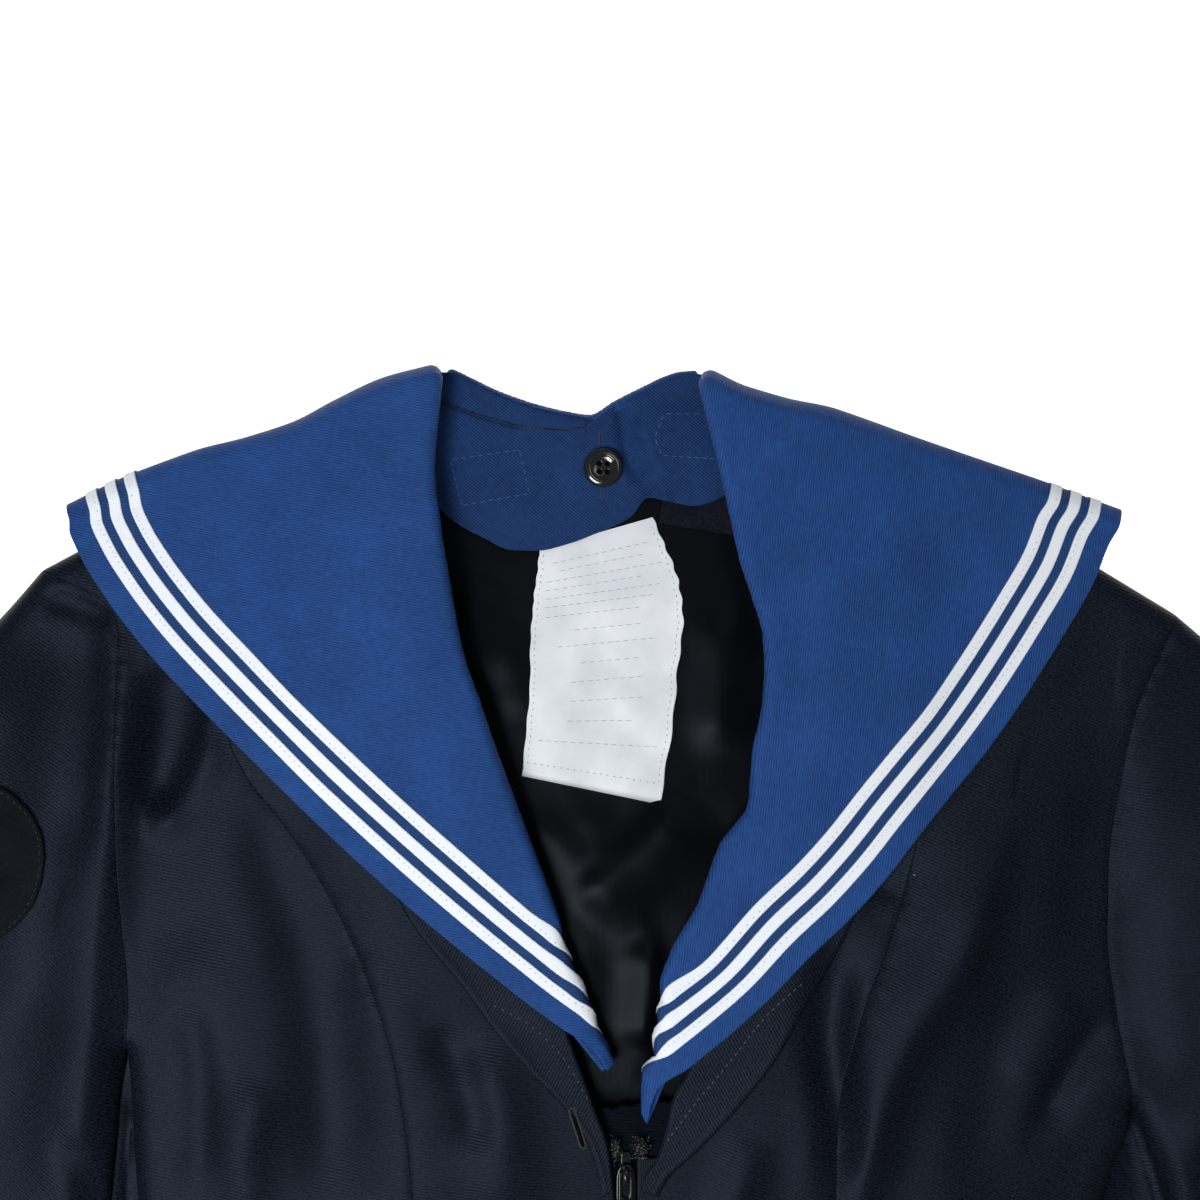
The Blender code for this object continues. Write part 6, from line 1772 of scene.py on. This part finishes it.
def fray(side):
    """The zip tape's melted, frayed end: a tuft of short glossy loops in random directions."""
    low, high = node_box(f"zip_end_{side}")
    pick = np.random.default_rng(17 if side == "right" else 18)
    count = 170
    spread = np.clip(pick.normal(0, 0.42, (count, 3)), -1, 1)
    centres = (low + high) / 2 + spread * (high - low) / 2
    along = unit(pick.normal(0, 1, (count, 3)) * [1, 1, 0.5])
    up = unit(pick.normal(0, 1, (count, 3)) + [0, 0, 1.2])
    piece = capsules(f"zip_end_{side}_shaped", centres, along, up, pick.uniform(0.8, 2.4, count),
                     pick.uniform(0.25, 0.5, count), pick.uniform(0.25, 0.5, count), finish_for("plastic_black"),
                     "black_nylon")
    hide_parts(f"zip_end_{side}")


def guard_level(points):
    """Height of the guard's upper side: level, with slow ripples."""
    return GUARD_Z[1] + 0.15 * ripple(points, 18, 51)


def guard():
    """The wool guard behind the zip. Its upper edge rises unevenly to the wearer's left."""
    x = np.linspace(ZIP_X - GUARD_WIDTH / 2, ZIP_X + GUARD_WIDTH / 2, 40)
    top = -194.5 + 0.13 * (x - ZIP_X) + 0.5 * np.sin(x * 0.9) + 0.3 * np.sin(x * 2.3 + 1)
    share = np.concatenate([np.array(BORDER) / 330, np.linspace(0.04, 1, 70)])
    y = top[None, :] + share[:, None] * (HEM_Y + 3 - top)[None, :]
    plan = np.stack(np.broadcast_arrays(x[None, :], y), -1)
    # The guard's wool is painted darker, as painted shade under the fronts.
    level_piece("zip_guard", guard_level, plan, GUARD_Z[1] - GUARD_Z[0], -4, "serge_painted_shade", "wool_serge")


# ---- the add-on


class JumperLook(bpy.types.PropertyGroup):
    """Colours and stage values that a user would change."""

    wool_colour: bpy.props.FloatVectorProperty(
        name="Wool", description="Colour of the wool serge", subtype="COLOR", size=3,
        default=(0.0030, 0.0041, 0.0074), min=0, max=1)
    drill_colour: bpy.props.FloatVectorProperty(
        name="Drill", description="Colour of the collar's drill", subtype="COLOR", size=3,
        default=(0.0096, 0.0405, 0.152), min=0, max=1)
    tape_colour: bpy.props.FloatVectorProperty(
        name="Tape", description="Colour of the collar's tapes", subtype="COLOR", size=3,
        default=(0.60, 0.635, 0.68), min=0, max=1)
    light: bpy.props.FloatProperty(
        name="Key light", description="Power of the light over the neck", default=16.0, min=0, unit="POWER")
    ambient: bpy.props.FloatProperty(
        name="Ambient light", description="Strength of the light from all round", default=0.2, min=0)
    floor_glow: bpy.props.FloatProperty(
        name="Floor glow", description="Light that the white table gives off itself", default=0.95, min=0)
    camera_height: bpy.props.FloatProperty(
        name="Camera height", description="Height of the camera over the floor", default=0.8, min=0.1,
        unit="LENGTH", subtype="DISTANCE")
    lens: bpy.props.FloatProperty(
        name="Lens", description="Focal length on a 36 mm sensor", default=61.6, min=10, unit="CAMERA")


def fronts():
    """Both fronts with their revers."""
    for side in ("right", "left"):
        front_centre(side)
        front_side(side)
        revers(side)


def sleeves():
    """Both sleeves, each of an upper and an under half."""
    for side in ("right", "left"):
        sleeve(side, True)
        sleeve(side, False)


def buttonholes():
    """The buttonhole of the right revers, seen nearly edge-on, and the yoke's under the button."""
    worked_hole("neck_edge_buttonhole", (-8.6, -201.4), (0.31, -0.95), 16.0, 2.2, on_revers("right"),
                finish_for("thread_olive"), "wool_serge", spacing=0.7, bar=0.9)
    worked_hole("yoke_buttonhole", (0.6, 52.0), (-0.03, 1.0), 26.0, 0.9, on_level(yoke_level),
                finish_for("thread_drill"), "blue_drill", bar=1.0)


def step(name, label, description, *makes):
    """An operator that calls its functions in turn."""
    def execute(self, context):
        for make in makes:
            make()
        return {"FINISHED"}

    return type(f"JUMPER_OT_{name}", (bpy.types.Operator,),
                {"__doc__": description, "bl_idname": f"jumper.{name}", "bl_label": label, "execute": execute})


class JUMPER_OT_stage(bpy.types.Operator):
    """Set the floor, the lights and the camera straight over the neck"""

    bl_idname = "jumper.stage"
    bl_label = "Floor, light and camera"

    def execute(self, context):
        look = context.scene.jumper_look
        over = to_frame([(0, 0, 0)])[0]
        floor = bpy.data.meshes.new("floor")
        corners = [(x, y, -0.0002) for x, y in ((-4, -4), (4, -4), (4, 4), (-4, 4))]
        floor.from_pydata(corners, [], [(0, 1, 2, 3)])
        finish = Finish("floor_white", 0.9, specular=0.1)
        finish.shader.inputs["Base Color"].default_value = (0.93, 0.93, 0.93, 1)
        finish.shader.inputs["Emission Color"].default_value = (1, 1, 1, 1)
        finish.shader.inputs["Emission Strength"].default_value = look.floor_glow
        floor.materials.append(finish.material)
        ground = bpy.data.objects.new("floor", floor)
        context.scene.collection.objects.link(ground)

        world = bpy.data.worlds.new("studio")
        world.use_nodes = True
        world.node_tree.nodes["Background"].inputs["Color"].default_value = (1.0, 1.0, 1.0, 1)
        world.node_tree.nodes["Background"].inputs["Strength"].default_value = look.ambient
        context.scene.world = world
        for name, spot, size, power in (("key_light", (-0.38, -0.42, 1.0), 0.45, look.light),
                                        ("fill_light", (0.35, 0.35, 1.2), 0.5, look.light * 0.15)):
            lamp = bpy.data.lights.new(name, "AREA")
            lamp.shape = "SQUARE"
            lamp.size = size
            lamp.energy = power
            light = bpy.data.objects.new(name, lamp)
            light.location = (over[0] + spot[0], over[1] + spot[1], spot[2])
            aim = np.array([over[0], over[1] - 0.05, 0]) - np.array(light.location)
            light.rotation_mode = "QUATERNION"
            light.rotation_quaternion = Vector(aim).to_track_quat("-Z", "Y")
            context.scene.collection.objects.link(light)

        view = bpy.data.cameras.new("camera")
        view.sensor_width = 36
        view.lens = look.lens
        camera = bpy.data.objects.new("camera", view)
        camera.location = (over[0], over[1], look.camera_height)
        context.scene.collection.objects.link(camera)
        context.scene.camera = camera
        context.scene.view_settings.view_transform = "Standard"
        return {"FINISHED"}


class JUMPER_PT_panel(bpy.types.Panel):
    """The jumper's pieces, in the order in which they are made"""

    bl_idname = "JUMPER_PT_panel"
    bl_label = "Sailor jumper"
    bl_space_type = "VIEW_3D"
    bl_region_type = "UI"
    bl_category = "Jumper"

    def draw(self, context):
        look = context.scene.jumper_look
        for name in look.bl_rna.properties.keys():
            if name in JumperLook.__annotations__:
                self.layout.prop(look, name)
        for operator in OPERATORS:
            self.layout.operator(operator.bl_idname)


OPERATORS = (
    JUMPER_OT_stage,
    step("back", "Back and lining", "Lay the back and its lining", back, lining),
    step("fronts", "Fronts and revers", "Lay the fronts and their revers", fronts),
    step("sleeves", "Sleeves", "Lay both sleeves", sleeves),
    step("collar", "Collar, tapes and yoke", "Lay the collar, its tapes and its yoke", collar, yoke),
    step("labels", "Label, loop tape and badge", "Sew on the label, the loop tape and the felt badge",
         label, hook_tape, badge),
    step("fastenings", "Button and zip", "Make the button and the zip with its guard",
         button, guard, zip_tapes, zip_teeth, zip_slider, zip_pull),
    step("sewing", "Stitches and buttonholes", "Sew the topstitching, the yoke's patches and the buttonholes",
         topstitching, yoke_stitches, buttonholes),
)
CLASSES = (JumperLook, *OPERATORS, JUMPER_PT_panel)


def register():
    for each in CLASSES:
        bpy.utils.register_class(each)
    bpy.types.Scene.jumper_look = bpy.props.PointerProperty(type=JumperLook)


def unregister():
    del bpy.types.Scene.jumper_look
    for each in reversed(CLASSES):
        bpy.utils.unregister_class(each)


def main():
    """Registers the add-on, then makes the stage and the whole jumper."""
    register()
    for operator in OPERATORS:
        group, name = operator.bl_idname.split(".")
        getattr(getattr(bpy.ops, group), name)()


if __name__ == "__main__":
    main()
